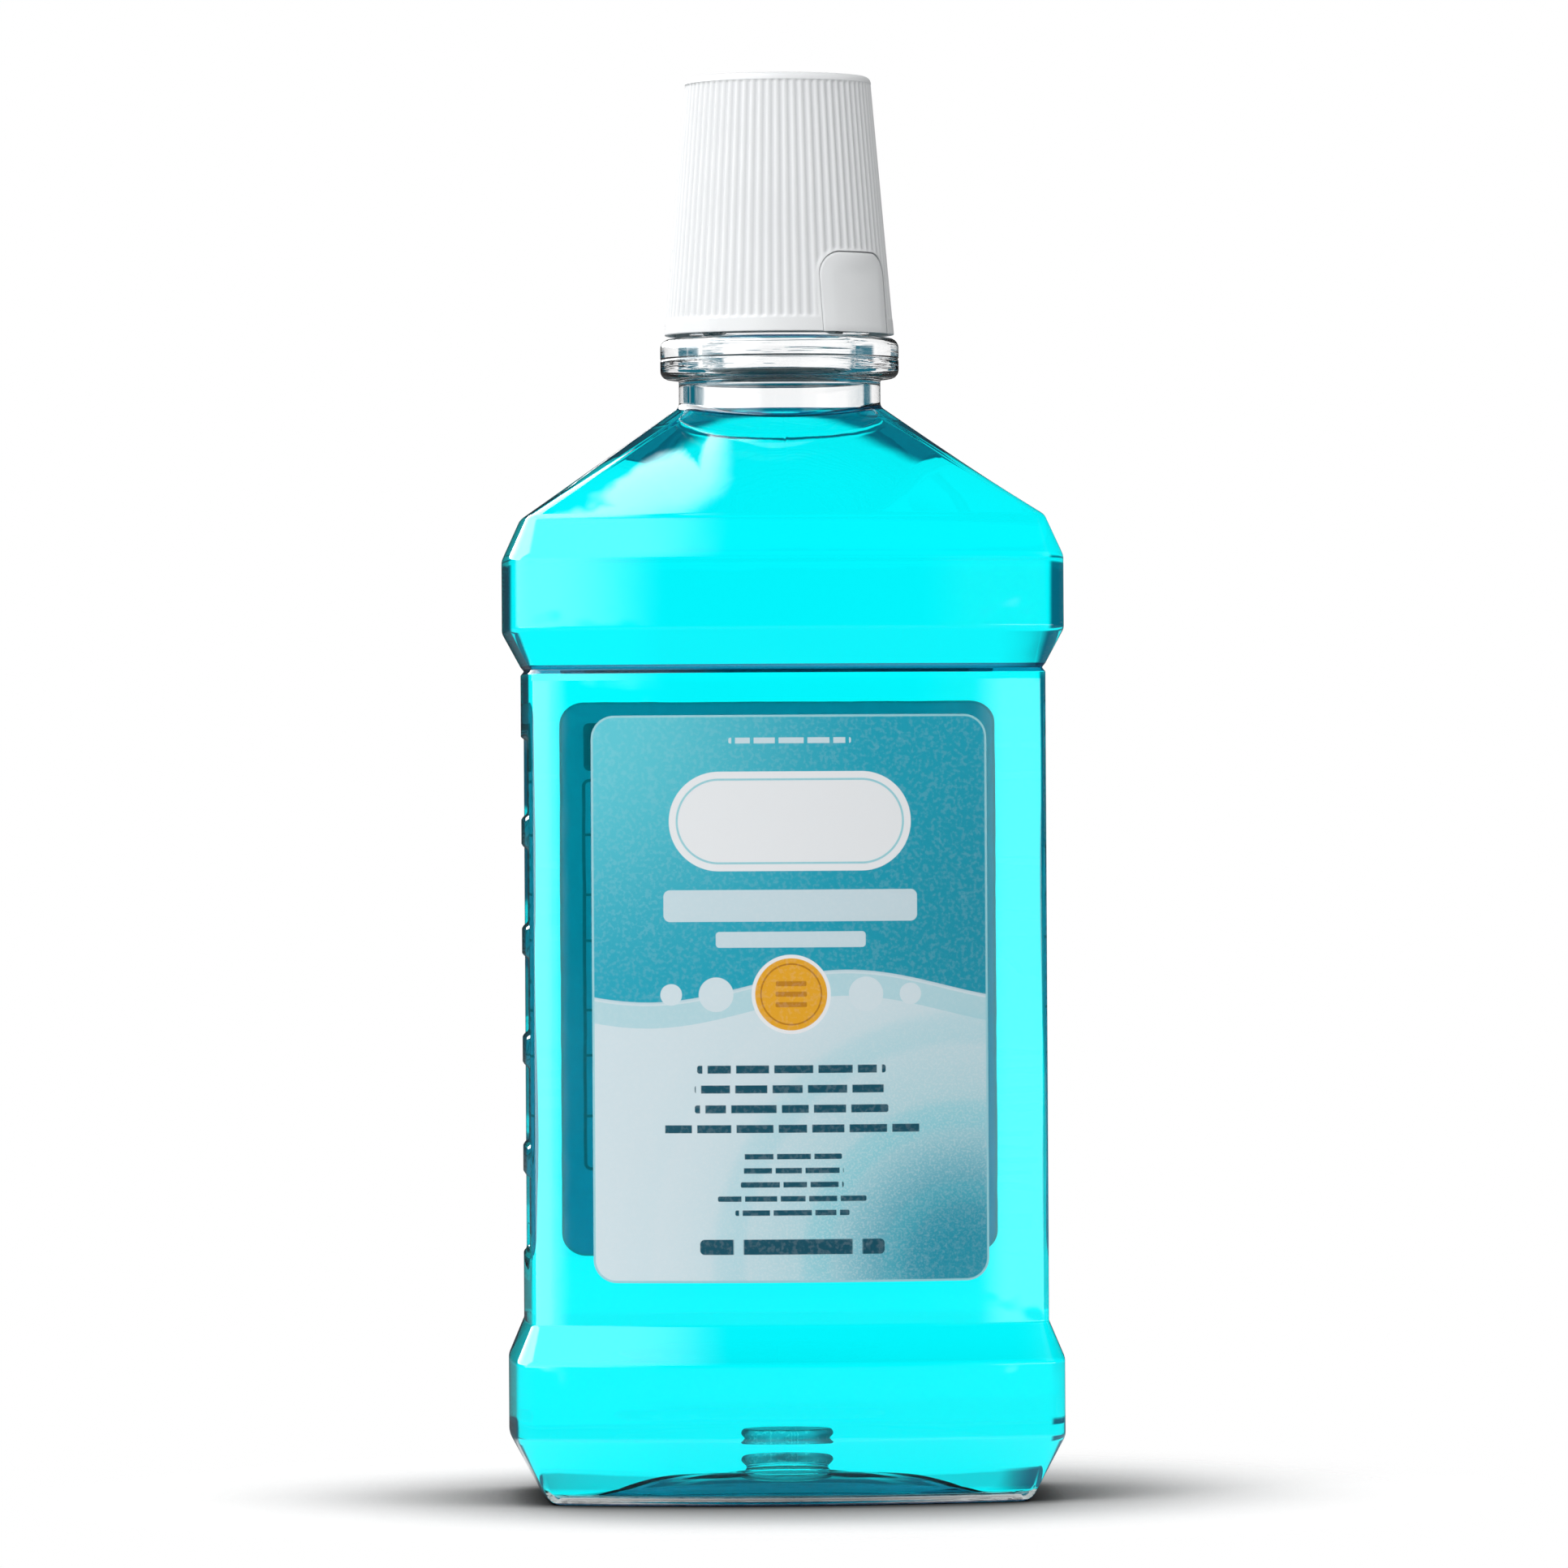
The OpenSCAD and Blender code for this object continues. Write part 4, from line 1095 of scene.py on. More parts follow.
def rows_group(box):
    """Ink of rows of bars: the row is floor((top - y) / pitch), and a random share shortens each row."""
    group, given, wanted = new_group(
        "small_print_rows",
        [("Place", VECTOR, (0, 0, 0)), ("Top", NUMBER, 0), ("Pitch", NUMBER, 2), ("Rows", NUMBER, 3),
         ("Thickness", NUMBER, 1), ("Half Width", NUMBER, 10), ("Spread", NUMBER, 0.3),
         ("Word", NUMBER, 2.4)],
        [("Ink", NUMBER)])
    split = parts_of(group, given["Place"])
    down = less(group, given["Top"], split[1])
    steps = maths(group, "DIVIDE", down, given["Pitch"])
    row = maths(group, "FLOOR", steps)
    in_rows = product(group, maths(group, "GREATER_THAN", steps, 0.0),
                   maths(group, "LESS_THAN", steps, given["Rows"]))
    tall = product(group, less(group, less(group, steps, row), 0.5), given["Pitch"])
    seed = total(group, row, 0.37)
    chance = add_node(group, "TexWhiteNoise", {"W": seed}, noise_dimensions="1D").outputs[0]
    half = product(group, given["Half Width"],
                less(group, 1.0, product(group, given["Spread"], chance)))
    half_tall = product(group, given["Thickness"], 0.5)
    bar = add_node(group, "Group", node_tree=box)
    feed(group, bar.inputs["Place"], flat_vector(group, split[0], tall))
    feed(group, bar.inputs["Half Size"], flat_vector(group, half, half_tall))
    feed(group, bar.inputs["Corner"], product(group, half_tall, 0.6))
    words = maths(group, "DIVIDE", split[0], given["Word"])
    word = maths(group, "FLOOR", words)
    seed = flat_vector(group, word, row)
    gap_at = add_node(group, "TexWhiteNoise", {"Vector": seed}, noise_dimensions="2D").outputs[0]
    gap_at = total(group, 0.3, product(group, gap_at, 0.4))
    beside = maths(group, "ABSOLUTE", less(group, less(group, words, word), gap_at))
    beside = product(group, beside, given["Word"])
    space = ramp(group, beside, product(group, given["Thickness"], 0.26),
                 product(group, given["Thickness"], 0.4))
    ink = product(group, product(group, bar.outputs["Ink"], space), in_rows)
    group.links.new(ink, wanted["Ink"])
    return group


def skin_group():
    """Swells and grain of a surface: two noises of unlike size around zero, and a fine one for the bump."""
    group, given, wanted = new_group(
        "surface_skin",
        [("Place", VECTOR, (0, 0, 0)), ("Swell Scale", NUMBER, 60), ("Grain Scale", NUMBER, 2500)],
        [("Swell", NUMBER), ("Scuff", NUMBER), ("Grain", NUMBER)])
    place = given["Place"]
    swell = noise(group, place, given["Swell Scale"], 3.0)
    scuff_scale = product(group, given["Swell Scale"], 9.0)
    scuff = add_node(group, "TexNoise", {
        "Vector": place, "Scale": scuff_scale, "Detail": 4.0, "Distortion": 1.5}).outputs[0]
    group.links.new(less(group, swell, 0.5), wanted["Swell"])
    group.links.new(ramp(group, scuff, 0.62, 0.78), wanted["Scuff"])
    group.links.new(noise(group, place, given["Grain Scale"], 2.0), wanted["Grain"])
    return group


BOX = box_group()
ROWS = rows_group(BOX)
SKIN = skin_group()


def skin_marks(tree, place, swell_scale, grain_scale):
    """Swell, scuff and grain of a surface at a place."""
    values = {"Place": place, "Swell Scale": swell_scale, "Grain Scale": grain_scale}
    return add_node(tree, "Group", values, node_tree=SKIN).outputs


def box_ink(tree, place, middle, half_size, corner, output="Ink"):
    """Ink of one rounded box on a label."""
    values = {"Place": place, "Middle": (*middle, 0.0), "Half Size": (*half_size, 0.0), "Corner": corner}
    return add_node(tree, "Group", values, node_tree=BOX).outputs[output]


def outline_ink(tree, place, middle, half_size, corner, thickness):
    """Ink of the outline of a rounded box."""
    distance = box_ink(tree, place, middle, half_size, corner, "Distance")
    return ramp(tree, maths(tree, "ABSOLUTE", distance), thickness / 2 + INK_EDGE, thickness / 2 - INK_EDGE)


def rows_ink(tree, place, top, pitch, rows, thickness, half_width, spread, word=2.4):
    """Ink of some rows of small print."""
    values = {"Place": place, "Top": top, "Pitch": pitch, "Rows": rows, "Thickness": thickness,
              "Half Width": half_width, "Spread": spread, "Word": word}
    return add_node(tree, "Group", values, node_tree=ROWS).outputs["Ink"]


print("node groups:", [group.name for group in (BOX, ROWS, SKIN)])

# %% [markdown]
# The front print keeps to the photo's colours and to the size of its parts, but it is a plain design of its
# own: a deep field over a pale one with a wave between them, a blank white panel, a row of round drops with
# an amber one in the middle, and bars where lines of print would be. The back print is a pale sheet with a
# dark heading and ruled boxes. Film lets light through, so each print is a mix of a glossy coat and a glow
# of the light that comes from behind.

# %% The prints
LABEL_HALF = (27.5, 39.35)
LABEL_CORNER = 3.2
TEAL_LIGHT, TEAL, TEAL_DEEP = linear(96, 212, 226), linear(8, 172, 198), linear(0, 150, 176)
PALE, AQUA, FILM_WHITE = linear(222, 238, 244), linear(158, 218, 228), linear(246, 248, 250)
BACK_LOW, BACK_HIGH = linear(158, 214, 246), linear(212, 230, 250)
AMBER, AMBER_DARK, INK = linear(244, 176, 26), linear(196, 128, 8), linear(8, 84, 104)
FILM_BORDER = 0.3
# The wave between the fields of the front print: its height, swing, length and start
PRINT_WAVE = 1.5, 2.2, 55, 0.7
# Middles of the painted highlight in the light corner, of the deeper side and of the spreading ripples
HIGHLIGHT_CORNER, DEEP_SIDE, RIPPLE_MIDDLE = (-30.0, 42.0, 0.0), (34.0, 2.0, 0.0), (24.0, -37.0, 0.0)
# Rounded boxes: middle, half size and corner
PANEL_BOX = (0, 24.6), (16.8, 6.9), 6.9
PANEL_LINE = (0, 24.6), (15.7, 5.8), 5.8
PALE_BOXES = ((0, 12.9), (17.6, 2.2), 0.9), ((0, 8.2), (10.4, 1.1), 0.5)
HEADING_BOX = (0, 33.0), (24.4, 3.4), 0.8
FRAME_BOX = (0, 0.6), (24.4, 27.6), 0.8
# Discs: places across and radii of the drops, and the radii of the amber one, its border and its line
DISC_ROW = 0.6
SIDE_DROPS = ((-16.6, 1.5), (-10.4, 2.4), (10.4, 2.4), (16.6, 1.5))
SUN, SUN_BORDER, SUN_LINE = 5.0, 5.5, 4.2
# Rows of small print: top, pitch, number of rows, thickness, half width, spread of the ends, length of a word
TOP_ROW = 36.6, 1.6, 1, 0.8, 8.5, 0.0, 3.4
SUN_ROWS = 2.8, 1.45, 3, 0.7, 3.0, 0.3, 40.0
LARGE_ROWS = -8.4, 2.75, 4, 1.1, 18.5, 0.3, 5.2
SMALL_ROWS = -20.9, 1.95, 5, 0.75, 10.5, 0.35, 4.4
LAST_ROW = -32.6, 3.6, 1, 2.1, 12.8, 0.0, 14.0
HEADING_ROW = 34.6, 3.2, 1, 1.5, 17.0, 0.0, 9.0
BACK_ROWS = 27.2, 1.78, 30, 0.66, 22.6, 0.22, 3.6
BACK_LAST_ROWS = -29.6, 1.9, 4, 0.8, 20.0, 0.45, 4.0
# Heights of the rules between the boxes of the back print
BACK_RULES = (20.5, 12.0, 5.5, -4.5, -11.0, -19.5)


def label_place(tree, middle_height, facing):
    """Place on a label in millimetres: across as its viewer sees it, and up from its middle."""
    place = object_place(tree)
    split = parts_of(tree, place)
    across = product(tree, split[0], -facing / MM)
    tall = less(tree, maths(tree, "DIVIDE", split[2], MM), middle_height)
    return place, flat_vector(tree, across, tall), across, tall


def inked(tree, ground, *layers):
    """A colour with layers of ink laid over it one after another, each a share and a colour."""
    for share, colour in layers:
        ground = blend_colours(tree, share, ground, colour)
    return ground


def film_material(name, middle_height, facing, draw, see_through, glow_tint):
    """Printed film: a coated print and the glow of light through it, with a fine uneven skin."""
    material, tree, output = new_material(name)
    place, flat, across, tall = label_place(tree, middle_height, facing)
    skin = skin_marks(tree, place, 45.0, 1800.0)
    colour, ink = draw(tree, flat, across, tall)
    grained = product(tree, ramp(tree, skin["Grain"], 0.46, 0.66), 0.07)
    colour = inked(tree, colour, (product(tree, skin["Scuff"], 0.06), FILM_WHITE), (grained, FILM_WHITE))
    rough = total(tree, 0.4, product(tree, skin["Swell"], 0.16), product(tree, ink, -0.06))
    height = total(
        tree, product(tree, skin["Grain"], 0.35), product(tree, ink, 0.3), product(tree, skin["Swell"], 2.0))
    bump = bumped(tree, height, 0.5, 0.00002)
    coat = add_node(tree, "BsdfPrincipled", {
        "Base Color": colour, "Roughness": rough, "Normal": bump, "Coat Weight": 0.15, "Coat Roughness": 0.3})
    glow_colour = blend_colours(tree, glow_tint, colour, FILM_WHITE)
    glow = add_node(tree, "BsdfTranslucent", {"Color": glow_colour})
    both = add_node(tree, "MixShader", {0: see_through, 1: coat.outputs[0], 2: glow.outputs[0]})
    tree.links.new(both.outputs[0], output.inputs["Surface"])
    return material


def print_edge(tree, flat):
    """1 on a label but for a narrow border along its outline."""
    half_size = (LABEL_HALF[0] - FILM_BORDER, LABEL_HALF[1] - FILM_BORDER)
    return box_ink(tree, flat, (0, 0), half_size, LABEL_CORNER - FILM_BORDER)


def disc_ink(tree, flat, across, radius):
    """Ink of a disc in the front print's row of discs."""
    return box_ink(tree, flat, (across, DISC_ROW), (radius, radius), radius)


def front_print(tree, flat, across, tall):
    """Colour and ink of the front print.

    Its fields part along v = middle + swing * sin(2 pi u / length + start).
    """
    middle, swing, length, start = PRINT_WAVE
    wave = maths(tree, "SINE", total(tree, product(tree, across, 2 * math.pi / length), start))
    over_wave = less(tree, less(tree, tall, middle), product(tree, wave, swing))
    from_highlight, from_deep, from_drop = (
        vectors(tree, "LENGTH", vectors(tree, "SUBTRACT", flat, place))
        for place in (HIGHLIGHT_CORNER, DEEP_SIDE, RIPPLE_MIDDLE))
    deep = product(tree, ramp(tree, from_deep, 44.0, 8.0), 0.7)
    # Painted highlight: the deep field turns lighter towards its top left corner
    top_field = inked(tree, TEAL, (deep, TEAL_DEEP), (ramp(tree, from_highlight, 46.0, 4.0), TEAL_LIGHT))

    waves = maths(tree, "SINE", product(tree, maths(tree, "POWER", from_drop, 0.8), 1.25))
    ripple = product(tree, ramp(tree, waves, 0.1, 0.9), ramp(tree, from_drop, 52.0, 10.0))
    speck = ramp(tree, noise(tree, flat, 3.2, 1.0), 0.5, 0.62)
    speck = product(tree, speck, ramp(tree, from_drop, 50.0, 12.0))
    low_field = inked(
        tree, PALE, (ramp(tree, from_drop, 46.0, 6.0), AQUA),
        (product(tree, ramp(tree, from_drop, 24.0, 0.0), 0.9), TEAL),
        (product(tree, ripple, 0.4), TEAL_LIGHT),
        (product(tree, speck, 0.28), FILM_WHITE),
        (product(tree, ramp(tree, from_drop, 21.0, 1.0), 0.85), TEAL_DEEP),
        (product(tree, ramp(tree, over_wave, -3.4, -3.3), 0.55), AQUA))
    ground = blend_colours(tree, ramp(tree, over_wave, -INK_EDGE, INK_EDGE), low_field, top_field)
    keyline = ramp(tree, maths(tree, "ABSOLUTE", over_wave), 0.32, 0.2)

    panel = box_ink(tree, flat, *PANEL_BOX)
    pale_bars = greatest(
        tree, *(box_ink(tree, flat, *box) for box in PALE_BOXES), rows_ink(tree, flat, *TOP_ROW))
    side_drops = greatest(tree, *(disc_ink(tree, flat, *drop) for drop in SIDE_DROPS))
    sun = disc_ink(tree, flat, 0, SUN)
    sun_line = outline_ink(tree, flat, (0, DISC_ROW), (SUN_LINE, SUN_LINE), SUN_LINE, 0.22)
    dark = greatest(tree, *(rows_ink(tree, flat, *rows) for rows in (LARGE_ROWS, SMALL_ROWS, LAST_ROW)))
    colour = inked(
        tree, ground, (product(tree, keyline, 0.8), PALE), (panel, FILM_WHITE),
        (outline_ink(tree, flat, *PANEL_LINE, 0.28), AQUA), (product(tree, pale_bars, 0.9), PALE),
        (side_drops, PALE), (disc_ink(tree, flat, 0, SUN_BORDER), FILM_WHITE), (sun, AMBER),
        (sun_line, AMBER_DARK), (product(tree, rows_ink(tree, flat, *SUN_ROWS), 0.85), AMBER_DARK),
        (dark, INK))
    drawn = greatest(tree, panel, pale_bars, dark, sun)
    return blend_colours(tree, print_edge(tree, flat), AQUA, colour), drawn


def back_print(tree, flat, across, tall):
    """Colour and ink of the back print."""
    lines, in_frame = outline_ink(tree, flat, *FRAME_BOX, 0.42), box_ink(tree, flat, *FRAME_BOX)
    small = rows_ink(tree, flat, *BACK_ROWS)
    for rule in BACK_RULES:
        from_rule = maths(tree, "ABSOLUTE", less(tree, tall, rule))
        lines = greatest(tree, lines, product(tree, ramp(tree, from_rule, 0.24, 0.12), in_frame))
        small = product(tree, small, ramp(tree, from_rule, 0.8, 0.9))
    last_rows, heading = rows_ink(tree, flat, *BACK_LAST_ROWS), box_ink(tree, flat, *HEADING_BOX)
    dark = greatest(tree, lines, small, last_rows, heading)
    ground = blend_colours(tree, ramp(tree, tall, -39.0, 30.0), BACK_LOW, BACK_HIGH)
    colour = inked(
        tree, ground, (product(tree, dark, 0.86), INK), (rows_ink(tree, flat, *HEADING_ROW), PALE))
    return blend_colours(tree, print_edge(tree, flat), AQUA, colour), dark


print("print sizes in mm:", LABEL_HALF)

# %% [markdown]
# Both labels are printed film, wrapped on the bowed front and back. They are built on the same bow as the
# bottle, and their inner face lies a hair inside its wall, as glue leaves no air behind a film.

# %% The label films
LABEL_WIDTH, LABEL_HEIGHT = 2 * LABEL_HALF[0], 2 * LABEL_HALF[1]
FILM_OUT = 0.16
FILM_IN = -0.05
FRONT_LABEL_MIDDLE = 70.55
BACK_LABEL_MIDDLE = 72.75
LABEL_COLUMNS = 64


def label_film(name, middle, facing, material):
    """A film on the bow: x = u * w(z), y = facing * (bow's middle + sqrt((bow + out)^2 - x^2))."""
    low, high = middle - LABEL_HEIGHT / 2, middle + LABEL_HEIGHT / 2
    heights = plate_rows(low, high, LABEL_CORNER, LABEL_CORNER, 40)
    half = row_half_width(heights, LABEL_WIDTH / 2, low, high, LABEL_CORNER, LABEL_CORNER)
    across = np.linspace(-1, 1, LABEL_COLUMNS + 1)
    x = -facing * half[:, None] * across[None, :]
    z = np.broadcast_to(heights[:, None], x.shape)
    faces = []
    for out in (FILM_OUT, FILM_IN):
        y = facing * (front_centre[1] + np.sqrt((FRONT_BOW + out) ** 2 - x**2))
        faces.append(np.stack([x, y, z], -1))
    return plate_object(name, *faces, material)


FRONT_GLOW_SHARE, BACK_GLOW_SHARE = 0.2, 0.8
front_film = film_material("front_label_print", FRONT_LABEL_MIDDLE, -1, front_print, FRONT_GLOW_SHARE, 0.3)
back_film = film_material("back_label_print", BACK_LABEL_MIDDLE, 1, back_print, BACK_GLOW_SHARE, 0.5)
front_label = label_film("front_label_film", FRONT_LABEL_MIDDLE, -1, front_film)
back_label = label_film("back_label_film", BACK_LABEL_MIDDLE, 1, back_film)
for label, node in ((front_label, "front_label"), (back_label, "back_label")):
    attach(label, "bottle")
    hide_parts(node)
print("label faces:", len(front_label.data.polygons))

# %% [markdown]
# The cap's shell is a cone with seventy-two soft flutes between a plain band at its rim and a smooth crown.
# Its surface is a function of height and direction: the cone's radius less the depth of the flutes, which
# fade out at the band, at the crown and along the edges of the two squeeze pads. The pads' arches are cut
# out of the finished skin, because their outline runs across the grid.

# %% The cap's shell
RIM = 163.6
CAP_HEIGHT = 36.4
CAP_RIM_RADIUS = 16.2
CAP_TOP_RADIUS = 13.05
CAP_EDGE = 1.0
SHELL_WALL = 0.8
SHELL_TOP = 0.9
DIMPLE = 0.25
CAP_BAND = 1.9
FLUTES = 72
FLUTE_DEPTH = 0.28
BAND_OUT = 0.05
FLUTE_STEPS = 8
FIRST_CREST = 1.75
CROWN = 0.9
PAD_HALF = 6.6
PAD_TOP = 11.3
PAD_CORNER = 3.4
PAD_SEAM = 0.12
PAD_DIRECTIONS = {"a": -46.0, "b": 134.0}
PAD_FRAME = 0.5
cap_angles = np.radians(FIRST_CREST + np.arange(FLUTES * FLUTE_STEPS) * 360 / (FLUTES * FLUTE_STEPS))


def cap_radius(heights):
    """Radius of the cone at a height above the rim."""
    return CAP_RIM_RADIUS - (CAP_RIM_RADIUS - CAP_TOP_RADIUS) / CAP_HEIGHT * np.asarray(heights)


def arch_distance(across, heights, half, top, corner):
    """Distance out of an upright arch with rounded top corners; it is negative inside the arch."""
    beside = np.abs(across) - (half - corner)
    above = heights - (top - corner)
    outside = np.hypot(np.maximum(beside, 0), np.maximum(above, 0))
    return outside + np.minimum(np.maximum(beside, above), 0) - corner


def flute(heights, angles):
    """Depth of the flutes: half a cosine wave between crests, faded at the band, the crown and the arches."""
    heights = heights[:, None]
    wave = 0.5 - 0.5 * np.cos((angles - cap_angles[0]) * FLUTES)
    fade = smooth_step(heights, CAP_BAND - 0.05, CAP_BAND + 0.55)
    fade = fade * (1 - smooth_step(heights, CAP_HEIGHT - CROWN - 0.5, CAP_HEIGHT - CROWN + 0.1))
    radius = cap_radius(heights)
    for direction in PAD_DIRECTIONS.values():
        turn = angles - math.radians(direction)
        near = np.cos(turn) > 0
        away = arch_distance(radius * np.sin(turn), heights, PAD_HALF, PAD_TOP, PAD_CORNER)
        fade = fade * np.where(near, smooth_step(away, 0.15, PAD_FRAME), 1)
    return (BAND_OUT + (FLUTE_DEPTH - BAND_OUT) * wave) * fade


def cone_grid(heights, radii, angles):
    """Points of rings: radius times the direction, at the height above the rim."""
    z = np.broadcast_to(np.asarray(heights)[:, None], radii.shape) + RIM
    return np.stack([radii * np.cos(angles), radii * np.sin(angles), z], -1)


shell_rows = np.unique(np.round(np.concatenate([
    np.linspace(0.25, CAP_BAND - 0.1, 4), np.linspace(CAP_BAND, CAP_BAND + 0.6, 5),
    np.arange(3.0, PAD_TOP - 4, 1.0), np.arange(PAD_TOP - 4, PAD_TOP + 1, 0.28),
    np.arange(PAD_TOP + 1.4, CAP_HEIGHT - 2, 1.7),
    np.linspace(CAP_HEIGHT - CROWN - 0.55, CAP_HEIGHT - CAP_EDGE - 0.02, 5)]), 4))
shell_side = cap_radius(shell_rows)[:, None] - flute(shell_rows, cap_angles)
edge_turn = np.linspace(0, math.pi / 2, 7)
edge_middle = cap_radius(CAP_HEIGHT - CAP_EDGE) - CAP_EDGE
edge_rows = CAP_HEIGHT - CAP_EDGE + CAP_EDGE * np.sin(edge_turn)
edge_radii = edge_middle + CAP_EDGE * np.cos(edge_turn)
rim_out, rim_in = cap_radius(0), cap_radius(0) - SHELL_WALL
rim_path = rounded_path(
    [(rim_in, 1.0), (rim_in, 0), (rim_out, 0), (rim_out - 0.02, 0.25)], [0.15, 0.2], arc_steps=4)
# The top is flat, with the small dimple of the moulding gate in its middle
top_radii = np.array([9.0, 5.0, 1.4, 1.1, 0.8])
top_rows = CAP_HEIGHT - DIMPLE * np.array([0, 0, 0, 1, 1])
under_top = CAP_HEIGHT - SHELL_TOP
inner_path = [(edge_middle - 0.4, under_top), (cap_radius(CAP_HEIGHT) - SHELL_WALL, under_top), (rim_in, 1.2)]
inner_path = with_even_steps(rounded_path(inner_path, [0.5], arc_steps=4), 6)
round_cap = np.ones(len(cap_angles))
shell_grid = np.concatenate([
    cone_grid([under_top], 0.4 * round_cap[None], cap_angles),
    cone_grid(inner_path[:, 1], inner_path[:, :1] * round_cap, cap_angles),
    cone_grid(rim_path[:, 1], rim_path[:, :1] * round_cap, cap_angles),
    cone_grid(shell_rows, shell_side, cap_angles),
    cone_grid(edge_rows, edge_radii[:, None] * round_cap, cap_angles),
    cone_grid(top_rows, top_radii[:, None] * round_cap, cap_angles),
])
print("cap shell levels:", shell_grid.shape[0], "columns:", shell_grid.shape[1])

# %% [markdown]
# The cap is moulded from an opaque white plastic whose mould has a fine grain. Hands polish the crests of
# its flutes, and the valleys are made a little greyer. So the finish looks at how deep a place lies under
# the cone, and adds the slow swells and scuffs of the node group above. Flat pieces use the same finish
# without flutes.

# %% Moulded plastic
WHITE_PLASTIC, VALLEY_GREY = linear(228, 230, 231), linear(212, 214, 216)
CUP_WHITE, CUP_GREY = linear(232, 234, 236), linear(222, 225, 228)


def valley_mask(tree, place):
    """1 in the valleys of the flutes and 0 on their crests, from how deep a place lies under the cone."""
    tall = less(tree, parts_of(tree, place)[2], RIM * MM)
    level = vectors(tree, "MULTIPLY", place, (1.0, 1.0, 0.0))
    slope = (CAP_RIM_RADIUS - CAP_TOP_RADIUS) / CAP_HEIGHT
    cone = less(tree, CAP_RIM_RADIUS * MM, product(tree, tall, slope))
    depth = less(tree, cone, vectors(tree, "LENGTH", level))
    valley = ramp(tree, depth, 0.2 * FLUTE_DEPTH * MM, 0.95 * FLUTE_DEPTH * MM)
    outside = ramp(tree, depth, 2.4 * FLUTE_DEPTH * MM, 2.0 * FLUTE_DEPTH * MM)
    below_crown = ramp(tree, tall, (CAP_HEIGHT - CROWN + 0.1) * MM, (CAP_HEIGHT - CROWN - 0.5) * MM)
    return product(tree, valley, product(tree, outside, below_crown))


def moulded_material(name, colour, low_colour, roughness, fluted=False):
    """Moulded plastic: swells of colour and gloss, duller scuffs, polished crests and a fine grain."""
    material, tree, output = new_material(name)
    place = object_place(tree)
    skin = skin_marks(tree, place, 60.0, 3200.0)
    greyed = maths(tree, "ADD", 0.3, product(tree, skin["Swell"], 1.5), clamp=True)
    rough = total(tree, roughness, product(tree, skin["Swell"], 0.15), product(tree, skin["Scuff"], 0.1))
    if fluted:
        valley = valley_mask(tree, place)
        greyed = greatest(tree, greyed, valley)
        rough = total(tree, rough, product(tree, valley, 0.08))
    shade = blend_colours(tree, greyed, colour, low_colour)
    height = total(tree, skin["Grain"], product(tree, skin["Scuff"], 0.5))
    bump = bumped(tree, height, 0.35, 0.00003)
    shader = add_node(tree, "BsdfPrincipled", {"Base Color": shade, "Roughness": rough, "Normal": bump})
    tree.links.new(shader.outputs[0], output.inputs["Surface"])
    return material


cap_plastic = moulded_material("moulded_cap", WHITE_PLASTIC, VALLEY_GREY, 0.4, fluted=True)
pad_plastic = moulded_material("moulded_pad", WHITE_PLASTIC, VALLEY_GREY, 0.36)
print("moulded finishes:", cap_plastic.name, pad_plastic.name)

# %% [markdown]
# An exact Boolean cuts the two arches out of the shell's wall, and the result is written back as a plain
# mesh. Inside the rim sit the two short locks that catch behind the bottle's lugs until the pads are
# squeezed.

# %% Windows and locks
LOCK_DIRECTION = -157.0
LOCK_HALF_ANGLE = 7.0
LOCK_RADII = (14.45, 15.75)
LOCK_HEIGHTS = (0.5, 2.8)
CUT_RADII = (9.0, 18.0)
BLOCK_POWER = 0.35


def placed(across, outwards, heights, direction):
    """Points from a place across a direction, the way out along it, and the height above the rim."""
    angle = math.radians(direction)
    x = outwards * math.cos(angle) - across * math.sin(angle)
    y = outwards * math.sin(angle) + across * math.cos(angle)
    return np.stack(np.broadcast_arrays(x, y, np.asarray(heights, float) + RIM), -1)


def arch_plate(name, direction, half, top, corner, low, surfaces, material, columns=48):
    """A plate with an arched top whose outer and inner faces are functions of place across and height."""
    heights = plate_rows(low, top, 0.0, corner, 16)
    widths = row_half_width(heights, half, low, top, 0.0, corner)
    share = np.sin(np.linspace(-math.pi / 2, math.pi / 2, columns + 1))
    across = widths[:, None] * share
    tall = np.broadcast_to(heights[:, None], across.shape)
    grids = [placed(across, surface(across, tall), tall, direction) for surface in surfaces]
    return plate_object(name, *grids, material)


def cut_away(piece, cutters):
    """Subtracts the cutters from a piece, and gives the piece the evaluated mesh."""
    for cutter in cutters:
        step = piece.modifiers.new("window", "BOOLEAN")
        step.operation = "DIFFERENCE"
        step.solver = "EXACT"
        step.object = cutter
    evaluated = piece.evaluated_get(bpy.context.evaluated_depsgraph_get())
    cut = bpy.data.meshes.new_from_object(evaluated)
    piece.modifiers.clear()
    piece.data = cut
    for cutter in cutters:
        bpy.data.objects.remove(cutter)


